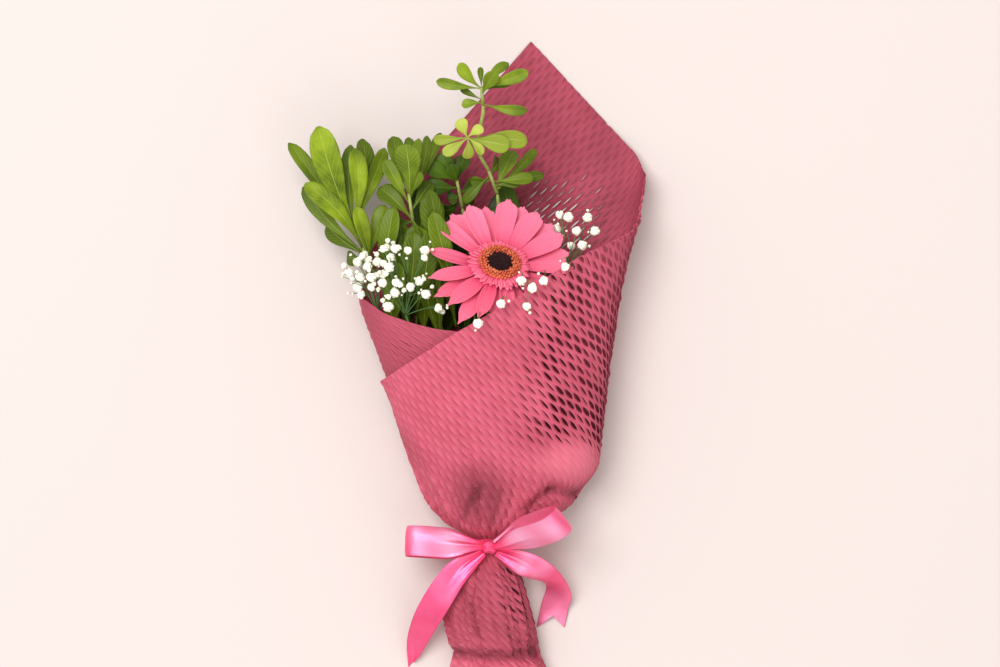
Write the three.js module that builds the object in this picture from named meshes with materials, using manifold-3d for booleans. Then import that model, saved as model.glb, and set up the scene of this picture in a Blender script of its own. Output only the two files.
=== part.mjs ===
// A wrapped gift bouquet lying on its back: one pink gerbera, four leafy green sprigs and four sprays
// of baby's breath, rolled in a sheet of honeycomb paper and tied with a satin ribbon bow.
// Millimetres. While it is built, the origin is at the tie on the floor, +X is right, +Y runs from the
// tie towards the flowers and +Z is up, the way the front of the bouquet faces.
import * as THREE from 'three';
import { mergeVertices } from 'three/addons/utils/BufferGeometryUtils.js';
import Module from 'manifold-3d';

// Driving dimensions
const clearance = 0.3; // between two pieces that touch
const mouthWidth = 190; // the rolled paper at its mouth, side to side
const mouthDepth = 98; // the rolled paper at its mouth, floor to front
const wrapLength = 362; // tie to the peak of the back sheet
const skirtLength = 95; // tie to the bottom edge of the paper
const skirtWidth = 62;
const skirtDepth = 42;
const paperThickness = 1;
const layerSpacing = 1.6; // how far a lapped layer stands off the middle of the roll
const gerberaDiameter = 103;
const gerberaTilt = 40; // degrees the flower leans back, from facing straight up towards +Y
const gerberaTurn = 10; // degrees it also faces to the right
const gerberaHeight = 73; // middle of the flower above the floor
const gerberaReach = 203; // tie to the middle of the flower
const petalCount = 22;
const petalThickness = 0.9;
const petalCover = 0.97; // share of its slice of the circle that a petal covers where it is widest
const discDiameter = 44; // out to the ends of the short inner rays
const ringDiameter = 32;
const eyeDiameter = 19;
const stemDiameter = 6;
const twigDiameter = 3.2;
const sprayDiameter = 1.6;
const branchDiameter = 1;
const floretDiameter = 7.5;
const leafThickness = 0.9;
const ribbonWidth = 22;
const ribbonThickness = 0.8;
const bandWidth = 10; // the ribbon drawn together around the waist
const loopLength = 55;
const knotSize = 13;
const stemEnd = 84; // tie to the cut ends of the stems
const rubberBandPlace = 30; // tie to the rubber band that holds the stems
const rubberBandWidth = 6;
const rubberBandThickness = 1.2;

// The stems are packed as a ring around the flower stem where the ribbon ties them.
const closestTurn = 40; // degrees between two neighbouring twigs
const stemClearance = 0.5; // the twigs bend away from the flower stem a little beside it
const ringRadius = Math.max(
  (stemDiameter + twigDiameter) / 2 + stemClearance,
  (twigDiameter + clearance) / 2 / Math.sin(THREE.MathUtils.degToRad(closestTurn / 2)),
);
const bundleRadius = ringRadius + twigDiameter / 2;
const waistHalf = bundleRadius + 2 * clearance + paperThickness + layerSpacing;
const waistLift = 8; // the waist hangs clear of the floor between the head and the skirt
const stemAxisHeight = waistLift + waistHalf;

const wasm = await Module();
wasm.setup();

const vector = (x, y, z) => new THREE.Vector3(x, y, z);
const radians = (degrees) => THREE.MathUtils.degToRad(degrees);
const smooth = (from, to, value) => THREE.MathUtils.smoothstep(value, from, to);

// A closed skin over a row of rings, each ring a list of the same even number of points. Each end is
// closed by rungs from the first half of its ring to the second.
function loft(rings) {
  const count = rings[0].length;
  const last = (rings.length - 1) * count;
  const index = [];
  for (let i = 0; i < last; i += count) {
    for (let j = 0; j < count; j += 1) {
      const k = (j + 1) % count;
      index.push(i + j, i + k, i + count + j);
      index.push(i + k, i + count + k, i + count + j);
    }
  }
  for (let j = 0; j < count / 2 - 1; j += 1) {
    const across = count - 1 - j;
    [[j, across, j + 1], [j + 1, across, across - 1]].forEach(([a, b, c]) => {
      index.push(a, b, c);
      index.push(last + c, last + b, last + a);
    });
  }
  return skin(rings.flat(), index);
}

// The same for rings that go round and meet again.
function hoop(rings) {
  const count = rings[0].length;
  const index = [];
  rings.forEach((ring, i) => {
    const [a, b] = [i * count, ((i + 1) % rings.length) * count];
    for (let j = 0; j < count; j += 1) {
      const k = (j + 1) % count;
      index.push(a + j, a + k, b + j);
      index.push(a + k, b + k, b + j);
    }
  });
  return skin(rings.flat(), index);
}

// A geometry from points and triangles, turned so that its faces point out.
function skin(points, index) {
  let volume = 0;
  for (let i = 0; i < index.length; i += 3) {
    const [a, b, c] = [points[index[i]], points[index[i + 1]], points[index[i + 2]]];
    volume += a.clone().cross(b).dot(c);
  }
  const geometry = new THREE.BufferGeometry().setFromPoints(points);
  geometry.setIndex(volume < 0 ? index.reverse() : index);
  return geometry;
}

// A flat strip through stations of { point, across, up }, where across and up reach to its faces.
function strip(places) {
  return loft(places.map(({ point, across, up }) => [
    point.clone().sub(across).add(up),
    point.clone().add(across).add(up),
    point.clone().add(across).sub(up),
    point.clone().sub(across).sub(up),
  ]));
}

function tube(points, diameter, sides, steps) {
  const outline = new THREE.Shape();
  for (let i = 0; i < sides; i += 1) {
    const turn = (2 * Math.PI * i) / sides;
    const [x, y] = [(diameter / 2) * Math.cos(turn), (diameter / 2) * Math.sin(turn)];
    if (i) outline.lineTo(x, y);
    else outline.moveTo(x, y);
  }
  const path = points.length > 2 ? new THREE.CatmullRomCurve3(points) : new THREE.LineCurve3(...points);
  return new THREE.ExtrudeGeometry(outline, { steps, bevelEnabled: false, extrudePath: path });
}

function solidOf(geometry) {
  const bare = geometry.clone();
  bare.deleteAttribute('normal');
  bare.deleteAttribute('uv');
  const merged = mergeVertices(bare, 1e-4);
  return new wasm.Manifold(new wasm.Mesh({
    numProp: 3,
    vertProperties: merged.attributes.position.array,
    triVerts: new Uint32Array(merged.index.array),
  }));
}

// Joins overlapping geometries into one skin.
function join(geometries) {
  const joined = geometries.map(solidOf).reduce((whole, piece) => whole.add(piece));
  const mesh = joined.getMesh();
  const geometry = new THREE.BufferGeometry();
  geometry.setAttribute('position', new THREE.BufferAttribute(mesh.vertProperties, mesh.numProp));
  geometry.setIndex(new THREE.BufferAttribute(mesh.triVerts, 1));
  return geometry;
}

const bouquet = new THREE.Group();

function add(name, geometry, material) {
  const mesh = new THREE.Mesh(geometry, material);
  mesh.name = name;
  bouquet.add(mesh);
  return mesh;
}

const finish = (color, roughness) => new THREE.MeshStandardMaterial({ color, roughness, metalness: 0 });
const honeycombPaper = finish(0xb05068, 0.85);
const pinkSatin = finish(0xf4508a, 0.35);
const petalPink = finish(0xff7e9e, 0.55);
const rayPink = finish(0xf08a72, 0.6);
const discOrange = finish(0xd9643c, 0.8);
const eyeMaroon = finish(0x43141c, 0.8);
const stemGreen = finish(0x7d9a45, 0.55);
const leafGreen = finish(0x6f9a26, 0.35);
const youngGreen = finish(0xc2d860, 0.4);
const twigGreen = finish(0x8a9a4a, 0.6);
const sprayGreen = finish(0x4a6a35, 0.6);
const rubberBuff = finish(0xc9a878, 0.7);

// The rolled paper. Each station gives where along the bouquet it is, the left and right sides, the
// floor side and the front, on a roll of the design size; the driving dimensions then scale them.
const designSize = {
  mouthWidth: 190,
  mouthDepth: 98,
  wrapLength: 362,
  skirtLength: 95,
  skirtWidth: 62,
  skirtDepth: 42,
  gerberaDiameter: 103,
};
const headStations = [
  { along: 14, left: -25, right: 33, low: 5.5, front: 46 },
  { along: 32, left: -41, right: 60, low: 1.5, front: 62 },
  { along: 60, left: -53, right: 76, low: 0, front: 77 },
  { along: 90, left: -65, right: 82, low: 0, front: 88 },
  { along: 135, left: -81, right: 87, low: 0, front: 92 },
  { along: 180, left: -96, right: 94, low: 0, front: 95 },
  { along: 237, left: -101, right: 107, low: 0, front: 98 },
  { along: 264, left: -102, right: 113, low: 0, front: 98 },
  { along: 362, left: -103, right: 116, low: 0, front: 98 },
];
const skirtStations = [
  { along: -95, left: -26, right: 37, low: 0, front: 42 },
  { along: -70, left: -28, right: 33, low: 0, front: 41 },
  { along: -45, left: -31, right: 27, low: 1, front: 39 },
  { along: -22, left: -25, right: 21, low: 4.5, front: 36 },
];
// The flowers and leaves keep their places in the roll when the roll is made wider, deeper or longer.
const widen = mouthWidth / designSize.mouthWidth;
const deepen = mouthDepth / designSize.mouthDepth;
const lengthen = wrapLength / designSize.wrapLength;
const inRoll = (x, y, z) => vector(x * widen, y * lengthen, z * deepen);
const flowerShift = (gerberaDiameter - designSize.gerberaDiameter * widen) / 2;
const besideFlower = (x, y, z) => inRoll(x, y, z).add(vector(flowerShift, 0, 0)); // past its right side
const scaled = (station, along, across, deep) => ({
  along: station.along * along,
  left: station.left * across,
  right: station.right * across,
  low: station.low,
  front: station.low + (station.front - station.low) * deep,
});
const stations = [
  ...skirtStations.map((station) => scaled(
    station,
    skirtLength / designSize.skirtLength,
    skirtWidth / designSize.skirtWidth,
    skirtDepth / designSize.skirtDepth,
  )),
  { along: 0, left: -waistHalf, right: waistHalf, low: waistLift, front: waistLift + 2 * waistHalf },
  ...headStations.map((station) => scaled(
    station,
    lengthen,
    widen,
    deepen,
  )),
];

// Smooth values between neighbouring stations, with no overshoot.
function sectionAt(along) {
  const y = THREE.MathUtils.clamp(along, stations[0].along, stations.at(-1).along);
  let i = 0;
  while (i < stations.length - 2 && y > stations[i + 1].along) i += 1;
  const slope = (j, key) => {
    const [a, b, c] = [stations[j - 1], stations[j], stations[j + 1]];
    if (!a || !c) return 0;
    const [before, after] = [(b[key] - a[key]) / (b.along - a.along), (c[key] - b[key]) / (c.along - b.along)];
    return before * after > 0 ? (2 * before * after) / (before + after) : 0;
  };
  const [from, to] = [stations[i], stations[i + 1]];
  const span = to.along - from.along;
  const t = (y - from.along) / span;
  const value = (key) => from[key] * (1 + 2 * t) * (1 - t) ** 2 + to[key] * t * t * (3 - 2 * t)
    + span * (slope(i, key) * t * (1 - t) ** 2 - slope(i + 1, key) * t * t * (1 - t));
  return { left: value('left'), right: value('right'), low: value('low'), front: value('front') };
}

// A point of the roll: turn is -90 at the back on the floor, 0 on the right, 90 at the front and
// 180 on the left; outward moves it off the middle layer.
const widestShare = 0.4; // how far up the roll is widest
const backPower = 0.5; // a flat back with round corners
const frontPower = 0.86;
const backDip = 1.035; // presses the back flat on the floor
function rollPoint(turn, along, outward) {
  const section = sectionAt(along);
  const [c, s] = [Math.cos(radians(turn)), Math.sin(radians(turn))];
  const power = s < 0 ? backPower : frontPower;
  const widest = section.low + widestShare * (section.front - section.low);
  const reach = (s < 0 ? (widest - section.low) * backDip : section.front - widest) + outward;
  const half = (section.right - section.left) / 2 + outward;
  const x = (section.left + section.right) / 2 + half * Math.sign(c) * Math.abs(c) ** power;
  const z = widest + reach * Math.sign(s) * Math.abs(s) ** power;
  return vector(x, along, Math.max(z, section.low - outward));
}

// The top edge of the sheet, which lies across the roll as a corner up at the back, in x and along.
// The back edge runs from the left fold over the peak to the right side, the front edge from there down
// to the corner at the left, and the tucked edge is the start of the sheet, under the front.
const backEdge = [
  [-96, 179], [-88, 212], [-76, 239], [-54, 271], [-19, 309], [29, 362], [105, 282], [114, 264],
];
const frontEdge = [
  [-78, 117], [-24, 153], [11, 173.5], [46, 197], [65, 209], [81, 216], [100, 226], [108, 240], [114, 264],
];
const tuckedEdge = [[-96, 179], [-78, 167], [-58, 160.5], [-40, 156], [20, 150]];
const rollStart = -292;
const cornerTurn = 178; // where the front edge meets the corner on the left
const rollEnd = 210;
const endDrop = 1.2; // how fast the edge falls away past that corner, for each degree

function edgeHeight(edge, x) {
  let i = 0;
  while (i < edge.length - 2 && x > edge[i + 1][0]) i += 1;
  const [from, to] = [edge[i], edge[i + 1]];
  const share = THREE.MathUtils.clamp((x - from[0]) / (to[0] - from[0]), 0, 1);
  return THREE.MathUtils.lerp(from[1], to[1], share);
}

// The edge is crossed where the roll, which widens along its length, reaches it.
function topAt(turn) {
  if (turn > cornerTurn) return (frontEdge[0][1] - endDrop * (turn - cornerTurn)) * lengthen;
  const edge = turn < -180 ? tuckedEdge : turn < 0 ? backEdge : frontEdge;
  let along = edge[0][1] * lengthen;
  for (let i = 0; i < 12; i += 1) {
    along = (along + edgeHeight(edge, rollPoint(turn, along, 0).x / widen) * lengthen) / 2;
  }
  return along;
}
// The lap at the front stands off the roll, and the layer under it is drawn in.
const layerAt = (turn) => layerSpacing * (smooth(10, 70, turn) + smooth(-170, -110, turn) - 1);

function paperWrap() {
  // Even steps round the sides and the front, and even steps in x across the flat back.
  const stepsOf = (from, to, count) => Array.from({ length: count }, (_, i) => from + ((to - from) * i) / count);
  const acrossBack = [-0.86, -0.7, -0.52, -0.35, -0.18, 0, 0.1, 0.205, 0.32, 0.46, 0.6, 0.74, 0.88];
  const turns = [
    ...stepsOf(rollStart, -180, 11),
    ...stepsOf(-180, -150, 4),
    ...acrossBack.map((share) => THREE.MathUtils.radToDeg(Math.asin(Math.sign(share) * share * share)) - 90),
    ...stepsOf(-30, 0, 4),
    ...stepsOf(0, rollEnd, 20),
    rollEnd,
  ];
  const lower = [
    ...[1, 0.74, 0.47, 0.23].map((share) => -share * skirtLength),
    ...[-bandWidth / 2, 0, bandWidth / 2],
    ...[14, 22, 32, 46].map((along) => along * lengthen),
  ];
  const shares = [0.2, 0.42, 0.64, 0.84, 1];
  const rings = [];
  turns.forEach((turn) => {
    const outer = [];
    const inner = [];
    const top = topAt(turn);
    const upper = shares.map((share) => THREE.MathUtils.lerp(lower.at(-1), top, share));
    [...lower, ...upper].forEach((along) => {
      outer.push(rollPoint(turn, along, layerAt(turn)));
      inner.push(rollPoint(turn, along, layerAt(turn) - paperThickness));
    });
    rings.push([...outer, ...inner.reverse()]);
  });
  return loft(rings);
}
add('paper_wrap', paperWrap(), honeycombPaper);

// Stems. Each one keeps its seat in the packed bundle from its cut end to the tie, then fans out.
const fanOut = 1.3;
const footSpread = 1.12;
function stemPoints(seatTurn, head, approach) {
  const radius = seatTurn === null ? 0 : ringRadius;
  const turn = radians(seatTurn ?? 0);
  const seat = (along, spread) => vector(
    spread * radius * Math.cos(turn),
    along,
    stemAxisHeight + spread * radius * Math.sin(turn),
  );
  const target = approach ?? head;
  const between = [0.3, 0.62].map((share) => {
    const ease = share ** fanOut;
    const start = seat(0, 1);
    return vector(
      THREE.MathUtils.lerp(start.x, target.x, ease),
      target.y * share,
      THREE.MathUtils.lerp(start.z, target.z, ease),
    );
  });
  return [seat(-stemEnd, footSpread), seat(-rubberBandPlace, 1), seat(0, 1), ...between,
    ...(approach ? [approach] : []), head];
}

const bandRing = [
  [bundleRadius + clearance, -rubberBandWidth / 2],
  [bundleRadius + clearance + rubberBandThickness, -rubberBandWidth / 2],
  [bundleRadius + clearance + rubberBandThickness, rubberBandWidth / 2],
  [bundleRadius + clearance, rubberBandWidth / 2],
  [bundleRadius + clearance, -rubberBandWidth / 2],
].map(([x, y]) => new THREE.Vector2(x, y));
const rubberBand = add('stem_rubber_band', new THREE.LatheGeometry(bandRing, 24), rubberBuff);
rubberBand.position.set(0, -rubberBandPlace, stemAxisHeight);

// The gerbera. Its head is built around the middle of the flower, facing along the local Z.
const flower = new THREE.Group();
const flowerMiddle = inRoll(6, gerberaReach, gerberaHeight);
flower.position.copy(flowerMiddle);
flower.rotation.set(radians(-gerberaTilt), radians(gerberaTurn), 0);
bouquet.add(flower);

function addToFlower(name, geometry, material) {
  const mesh = new THREE.Mesh(geometry, material);
  mesh.name = name;
  flower.add(mesh);
}

const petalGap = 3.4; // between the front and the back row of petals
const receptacleRadius = 11.5;
const receptacleTop = petalGap / 2 + petalThickness / 2 + 1.4;
const cupDepth = 9;
const lathe = (profile, segments) => new THREE.LatheGeometry(
  profile.map(([x, y]) => new THREE.Vector2(x, y)),
  segments,
).rotateX(Math.PI / 2);

addToFlower('gerbera_bracts', lathe([
  [0, -cupDepth],
  [stemDiameter / 2 + 1, -cupDepth],
  [receptacleRadius - 2, -cupDepth * 0.75],
  [receptacleRadius + 2.5, -petalGap / 2 - petalThickness - 1.2],
  [receptacleRadius + 1.5, -petalGap / 2 - petalThickness / 2 - clearance],
  [receptacleRadius, -petalGap / 2 - petalThickness / 2 - clearance],
  [receptacleRadius, receptacleTop],
  [0, receptacleTop],
], 24), stemGreen);

const eyeSeat = receptacleTop + clearance;
addToFlower('gerbera_eye', lathe([
  [0, eyeSeat],
  [eyeDiameter / 2 - clearance, eyeSeat],
  [eyeDiameter / 2 - clearance, eyeSeat + 1.6],
  [eyeDiameter / 3, eyeSeat + 2.6],
  [0, eyeSeat + 2.2],
], 24), eyeMaroon);
addToFlower('gerbera_disc_florets', lathe([
  [eyeDiameter / 2, eyeSeat],
  [ringDiameter / 2, eyeSeat],
  [ringDiameter / 2 + 0.4, eyeSeat + 2.4],
  [(ringDiameter + eyeDiameter) / 4 + 1, eyeSeat + 4],
  [eyeDiameter / 2, eyeSeat + 2.6],
  [eyeDiameter / 2, eyeSeat],
], 28), discOrange);

function innerRays() {
  const rays = 26;
  const start = ringDiameter / 2 + 0.4 + clearance;
  const rings = [];
  for (let i = 0; i < rays * 2; i += 1) {
    const turn = (Math.PI * i) / rays;
    const reach = i % 2 ? discDiameter / 2 : discDiameter / 2 - 2.6;
    const rise = (reach - start) * 0.5;
    rings.push([[start, 1.4], [reach, 1.4 + rise], [reach, 2.2 + rise], [start, 2.6]].map(([radius, height]) => (
      vector(radius * Math.cos(turn), radius * Math.sin(turn), eyeSeat + height))));
  }
  return hoop(rings);
}
addToFlower('gerbera_inner_rays', innerRays(), rayPink);

// The petals lie in two rows. The upper ones lift a little and the lower ones droop.
const petalLift = 3;
const petalSway = 9;
const pressedDroop = 17; // of the petals that are tucked under the front edge of the paper
const widestShareOfPetal = 0.56;
const petalShape = [[0, 0.34], [0.14, 0.42], [0.34, 0.72], [widestShareOfPetal, 1], [0.8, 0.96], [0.93, 0.7], [1, 0.3]];
function petal(number) {
  const turn = (2 * Math.PI * number) / petalCount;
  const front = number % 2 === 0;
  const start = receptacleRadius + clearance;
  const length = gerberaDiameter / 2 - start - (front ? 2.5 : 0);
  const fromRight = THREE.MathUtils.radToDeg(turn) - 360;
  const tucked = smooth(-97, -82, fromRight) * (1 - smooth(-50, -5, fromRight));
  const slope = Math.tan(radians(petalLift + petalSway * Math.sin(turn) - pressedDroop * tucked));
  const slice = (2 * Math.PI * (start + widestShareOfPetal * length)) / petalCount;
  const outward = vector(Math.cos(turn), Math.sin(turn), 0);
  const sideways = vector(-Math.sin(turn), Math.cos(turn), 0);
  return strip(petalShape.map(([share, width]) => {
    const radius = start + share * length;
    const rise = slope * Math.max(0, radius - start - 4);
    const point = outward.clone().multiplyScalar(radius);
    point.z = (front ? petalGap / 2 : -petalGap / 2) + rise;
    return {
      point,
      across: sideways.clone().multiplyScalar((petalCover * slice * width) / 2),
      up: vector(0, 0, petalThickness / 2),
    };
  }));
}
for (let i = 0; i < petalCount; i += 1) {
  addToFlower(`gerbera_petal_${String(i + 1).padStart(2, '0')}`, petal(i), petalPink);
}

flower.updateMatrix();
const fromFlower = (x, y, z) => vector(x, y, z).applyMatrix4(flower.matrix);
const neck = fromFlower(0, 0, -cupDepth - clearance);
const belowNeck = fromFlower(0, 0, -cupDepth - 22);
add('gerbera_stem', tube(stemPoints(null, neck, belowNeck), stemDiameter, 8, 24), stemGreen);

// Leafy sprigs: a twig from the bundle, then a leafy shoot. A leaf is told by how far up the shoot it
// starts, where its tip is and how wide it is.
const leafShape = [[0, 0.14], [0.2, 0.16], [0.42, 0.52], [0.62, 0.9], [0.8, 1], [0.93, 0.72], [1, 0.26]];
function leaf(start, tip, width) {
  const along = tip.clone().sub(start);
  const across = along.clone().cross(vector(0, 0, 1)).normalize();
  const up = across.clone().cross(along).normalize();
  return strip(leafShape.map(([share, breadth]) => ({
    point: start.clone().addScaledVector(along, share).addScaledVector(up, 0.3 * share * (1 - share) * width),
    across: across.clone().multiplyScalar((width / 2) * breadth),
    up: up.clone().multiplyScalar(leafThickness / 2),
  })));
}
const shootDiameter = twigDiameter * 0.85;
function leafyShoot(foot, crown, leaves) {
  const shoot = tube([foot, crown], shootDiameter, 7, 1);
  return join([shoot, ...leaves.map(([from, x, y, z, width]) => (
    leaf(foot.clone().lerp(crown, THREE.MathUtils.clamp(from, 0.06, 0.94)), inRoll(x, y, z), width)))]);
}
// A twig runs in line with the shoot that grows on it, and stops just short of it.
const leadLength = 5;
function twigEnd(foot, crown) {
  const upward = crown.clone().sub(foot).normalize();
  return [leadLength, clearance].map((back) => foot.clone().addScaledVector(upward, -back));
}
function twigTo(name, seatTurn, foot, crown) {
  const [lead, end] = twigEnd(foot, crown);
  add(name, tube(stemPoints(seatTurn, end, lead), twigDiameter, 7, 18), twigGreen);
}

const sprigs = {
  left: {
    seat: 185,
    foot: inRoll(-84, 200, 48),
    crown: inRoll(-98, 228, 52),
    leaves: [
      [0.8, -122, 299, 74, 21], [0.7, -143, 291, 48, 12], [1, -95, 284, 68, 14], [0.9, -101, 288, 52, 12],
      [1, -74, 286, 44, 12], [0.9, -90, 294, 36, 15], [0.45, -130, 260, 68, 16], [0.35, -135, 258, 46, 12],
      [0.3, -119, 231, 34, 13], [0, -94, 242, 72, 12], [0, -104, 209, 32, 11], [0.25, -76, 245, 54, 13],
    ],
  },
  middle: {
    seat: 228,
    foot: inRoll(-55, 232, 50),
    crown: inRoll(-58, 253, 57),
    leaves: [
      [1, -60, 287, 72, 19], [0.6, -75, 277, 60, 11], [0.1, -79, 258, 50, 15], [1, -69, 295, 48, 13],
      [0.9, -58, 295, 40, 9], [0.9, -52, 294, 42, 8], [0.8, -44, 296, 38, 8], [0.8, -36, 299, 36, 8],
      [0.1, -43, 213, 66, 12], [0, -68, 229, 38, 13],
    ],
  },
  dark: {
    seat: 268,
    foot: inRoll(-20, 244, 30),
    crown: inRoll(-24, 264, 36),
    leaves: [
      [1, -45, 275, 43, 12], [0.7, -46, 259, 40, 12], [1, -36, 280, 42, 12], [1, -20, 280, 34, 12],
      [0.2, -38, 240, 22, 12], [0.5, -8, 262, 26, 12],
    ],
  },
};
Object.entries(sprigs).forEach(([side, { seat, foot, crown, leaves }]) => {
  twigTo(`sprig_${side}_twig`, seat, foot, crown);
  add(`sprig_${side}_leaves`, leafyShoot(foot, crown, leaves), leafGreen);
});

// The tall sprig stands up behind the gerbera: two leafy shoots one above the other on one twig.
const tallFoot = inRoll(5, 254, 40);
const tallCrown = inRoll(-1, 270, 46);
twigTo('sprig_tall_twig', 308, tallFoot, tallCrown);
add('sprig_tall_lower_leaves', leafyShoot(tallFoot, tallCrown, [
  [0.1, 17, 285, 36, 14], [0.1, 34, 286, 30, 8], [0.5, 31, 265, 48, 10], [0.3, 39, 267, 38, 8],
  [0.8, 8, 278, 30, 12], [0.8, -19, 247, 46, 8],
]), leafGreen);
const tallUpward = tallCrown.clone().sub(tallFoot).normalize();
const topFoot = inRoll(-5, 316, 64);
const topCrown = inRoll(-6, 328, 68);
const rosetteMiddle = inRoll(-16, 292, 76);
const forkPoint = inRoll(-9, 285, 55);
const upperTwig = tube([
  tallCrown.clone().addScaledVector(tallUpward, clearance),
  forkPoint,
  inRoll(-7, 300, 59),
  ...twigEnd(topFoot, topCrown),
], shootDiameter, 7, 12);
const rosetteFoot = rosetteMiddle.clone().add(vector(1, -1, -8));
const rosetteTwig = tube([forkPoint, ...twigEnd(rosetteFoot, rosetteMiddle)], shootDiameter, 7, 5);
add('sprig_tall_upper_twig', join([upperTwig, rosetteTwig]), twigGreen);
add('sprig_tall_rosette', leafyShoot(rosetteFoot, rosetteMiddle, [
  [1, -21, 305, 80, 9.5], [1, -5, 299, 80, 8], [1, -40, 290, 76, 8], [1, -33, 280, 79, 8.5],
  [1, -5, 280, 79, 7], [0.9, -16, 277, 74, 9], [0.6, 14, 286, 74, 13], [0.3, 27, 290, 66, 13],
]), youngGreen);
add('sprig_tall_top_leaves', leafyShoot(topFoot, topCrown, [
  [1, -38, 332, 70, 8], [1, -22, 344, 76, 9.5], [1, -7, 343, 64, 4.5], [1, 13, 346, 66, 8],
  [1, 27, 338, 78, 10], [0.6, 4, 338, 80, 11], [0.3, -21, 328, 62, 5], [0.1, -20, 316, 66, 7],
  [0.06, 26, 311, 72, 8],
]), leafGreen);

// Baby's breath: a thin stem from the bundle to a fork, then a branch to each floret.
function spray(name, seatTurn, fork, florets, approach, placed = inRoll) {
  const pieces = [tube(stemPoints(seatTurn, fork, approach), sprayDiameter, 5, 16)];
  florets.forEach(([x, y, z]) => {
    const middle = placed(x, y, z);
    const bend = fork.clone().lerp(middle, 0.55).add(vector(0, 2, 1));
    pieces.push(tube([fork, bend, middle], branchDiameter, 4, 2));
    pieces.push(new THREE.IcosahedronGeometry(floretDiameter / 2, 0).translate(middle.x, middle.y, middle.z));
  });
  add(name, join(pieces), sprayGreen);
}
spray('gypsophila_outer_left', 145, inRoll(-80, 168, 58), [
  [-100, 196, 66], [-94, 204, 60], [-92, 193, 76], [-87, 201, 70], [-84, 193, 80], [-80, 204, 66],
  [-94, 186, 70], [-84, 186, 74], [-76, 195, 74],
]);
spray('gypsophila_inner_left', 110, inRoll(-60, 166, 68), [
  [-73, 214, 72], [-70, 207, 80], [-67, 213, 84], [-58, 212, 80], [-71, 200, 84], [-76, 189, 84],
  [-66, 189, 86], [-67, 182, 80], [-56, 186, 84], [-50, 190, 78], [-46, 212, 86], [-45, 181, 84],
]);
spray('gypsophila_right', 350, besideFlower(52, 190, 54), [
  [56, 236, 56], [62, 226, 60], [75, 226, 62], [66, 216, 66], [58, 216, 54], [50, 238, 50],
  [70, 236, 52], [48, 228, 44],
], undefined, besideFlower);
spray('gypsophila_front', 35, inRoll(66, 221, 96), [
  [22, 190, 104], [30, 185, 105], [38, 190, 104], [53, 200, 99], [26, 172, 105], [8, 174, 108],
], inRoll(66, 206, 76));

// The satin ribbon: drawn together around the waist, knotted in front, with two loops and two tails.
function ribbonBand() {
  const rings = [];
  const inner = layerSpacing + clearance;
  const corners = [[-1, inner], [1, inner], [1, inner + ribbonThickness], [-1, inner + ribbonThickness]];
  for (let turn = 0; turn < 360; turn += 12) {
    rings.push(corners.map(([side, outward]) => rollPoint(turn, (side * bandWidth) / 2, outward)));
  }
  return hoop(rings);
}
add('ribbon_band', ribbonBand(), pinkSatin);

const bandTop = rollPoint(90, bandWidth / 2, layerSpacing + clearance + ribbonThickness).z;
const knotMiddle = vector(0, 0, bandTop + clearance + knotSize * 0.38);
const knot = new THREE.SphereGeometry(knotSize / 2, 12, 8).scale(1, 0.95, 0.76);
add('ribbon_knot', knot.translate(knotMiddle.x, knotMiddle.y, knotMiddle.z), pinkSatin);

// A loop: the ribbon runs out from the knot and folds back over itself. heading turns it in plan,
// rise lifts its end and roll turns it about its own length.
function ribbonLoop(heading, rise, roll, openness) {
  const outward = vector(
    Math.cos(radians(heading)) * Math.cos(radians(rise)),
    Math.sin(radians(heading)) * Math.cos(radians(rise)),
    Math.sin(radians(rise)),
  );
  const across = vector(0, 0, 1).cross(outward).normalize().applyAxisAngle(outward, radians(roll));
  const over = outward.clone().cross(across);
  const start = knotMiddle.clone().addScaledVector(outward, knotSize / 2 + clearance + ribbonThickness);
  const steps = 20;
  const rings = [];
  for (let i = 0; i < steps; i += 1) {
    const turn = (2 * Math.PI * i) / steps;
    const share = (1 - Math.cos(turn)) / 2;
    const half = (ribbonWidth / 2) * (0.32 + 0.68 * smooth(0, 0.5, share));
    const corner = (inset, side) => start.clone()
      .addScaledVector(outward, (loopLength / 2 - inset) * (1 - Math.cos(turn)) + inset)
      .addScaledVector(over, (openness - inset) * Math.sin(turn) * (0.45 + 0.55 * share))
      .addScaledVector(across, side * half);
    rings.push([corner(0, -1), corner(0, 1), corner(ribbonThickness, 1), corner(ribbonThickness, -1)]);
  }
  return hoop(rings);
}
add('ribbon_loop_left', ribbonLoop(176, 2, 0, 7), pinkSatin);
add('ribbon_loop_right', ribbonLoop(20, 37, 24, 6), pinkSatin);

// A tail: stations of x, y, z, the direction across the ribbon in plan and its half width.
function ribbonTail(places) {
  return strip(places.map(([x, y, z, turn, half]) => ({
    point: vector(x, y, z),
    across: vector(Math.cos(radians(turn)), Math.sin(radians(turn)), 0).multiplyScalar(half * ribbonWidth),
    up: vector(0, 0, ribbonThickness / 2),
  })));
}
const tailTop = knotMiddle.z;
add('ribbon_tail_left', ribbonTail([
  [-7.5, -6.5, tailTop - 1, 135, 0.18], [-24, -19, tailTop + 1, 125, 0.42], [-42, -46, tailTop - 6, 148, 0.46],
  [-53, -70, 14, 160, 0.38], [-58, -88, ribbonThickness, 168, 0.2],
]), pinkSatin);
add('ribbon_tail_right', ribbonTail([
  [8, -6, tailTop - 1, 58, 0.18], [22, -11, tailTop + 1, 56, 0.4], [37, -19, tailTop - 3, 24, 0.46],
  [49.5, -31, tailTop - 12, -19, 0.42], [47, -46, 12, -6, 0.46], [44, -61, ribbonThickness, 0, 0.46],
]), pinkSatin);

// The finished bouquet, set down with the bottom centre of its box at the origin.
bouquet.updateMatrixWorld(true);
const box = new THREE.Box3().setFromObject(bouquet, true);
const middle = box.getCenter(vector(0, 0, 0));
bouquet.position.set(-middle.x, -middle.y, -box.min.z);
const part = new THREE.Group();
part.add(bouquet);

export default part;
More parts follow.
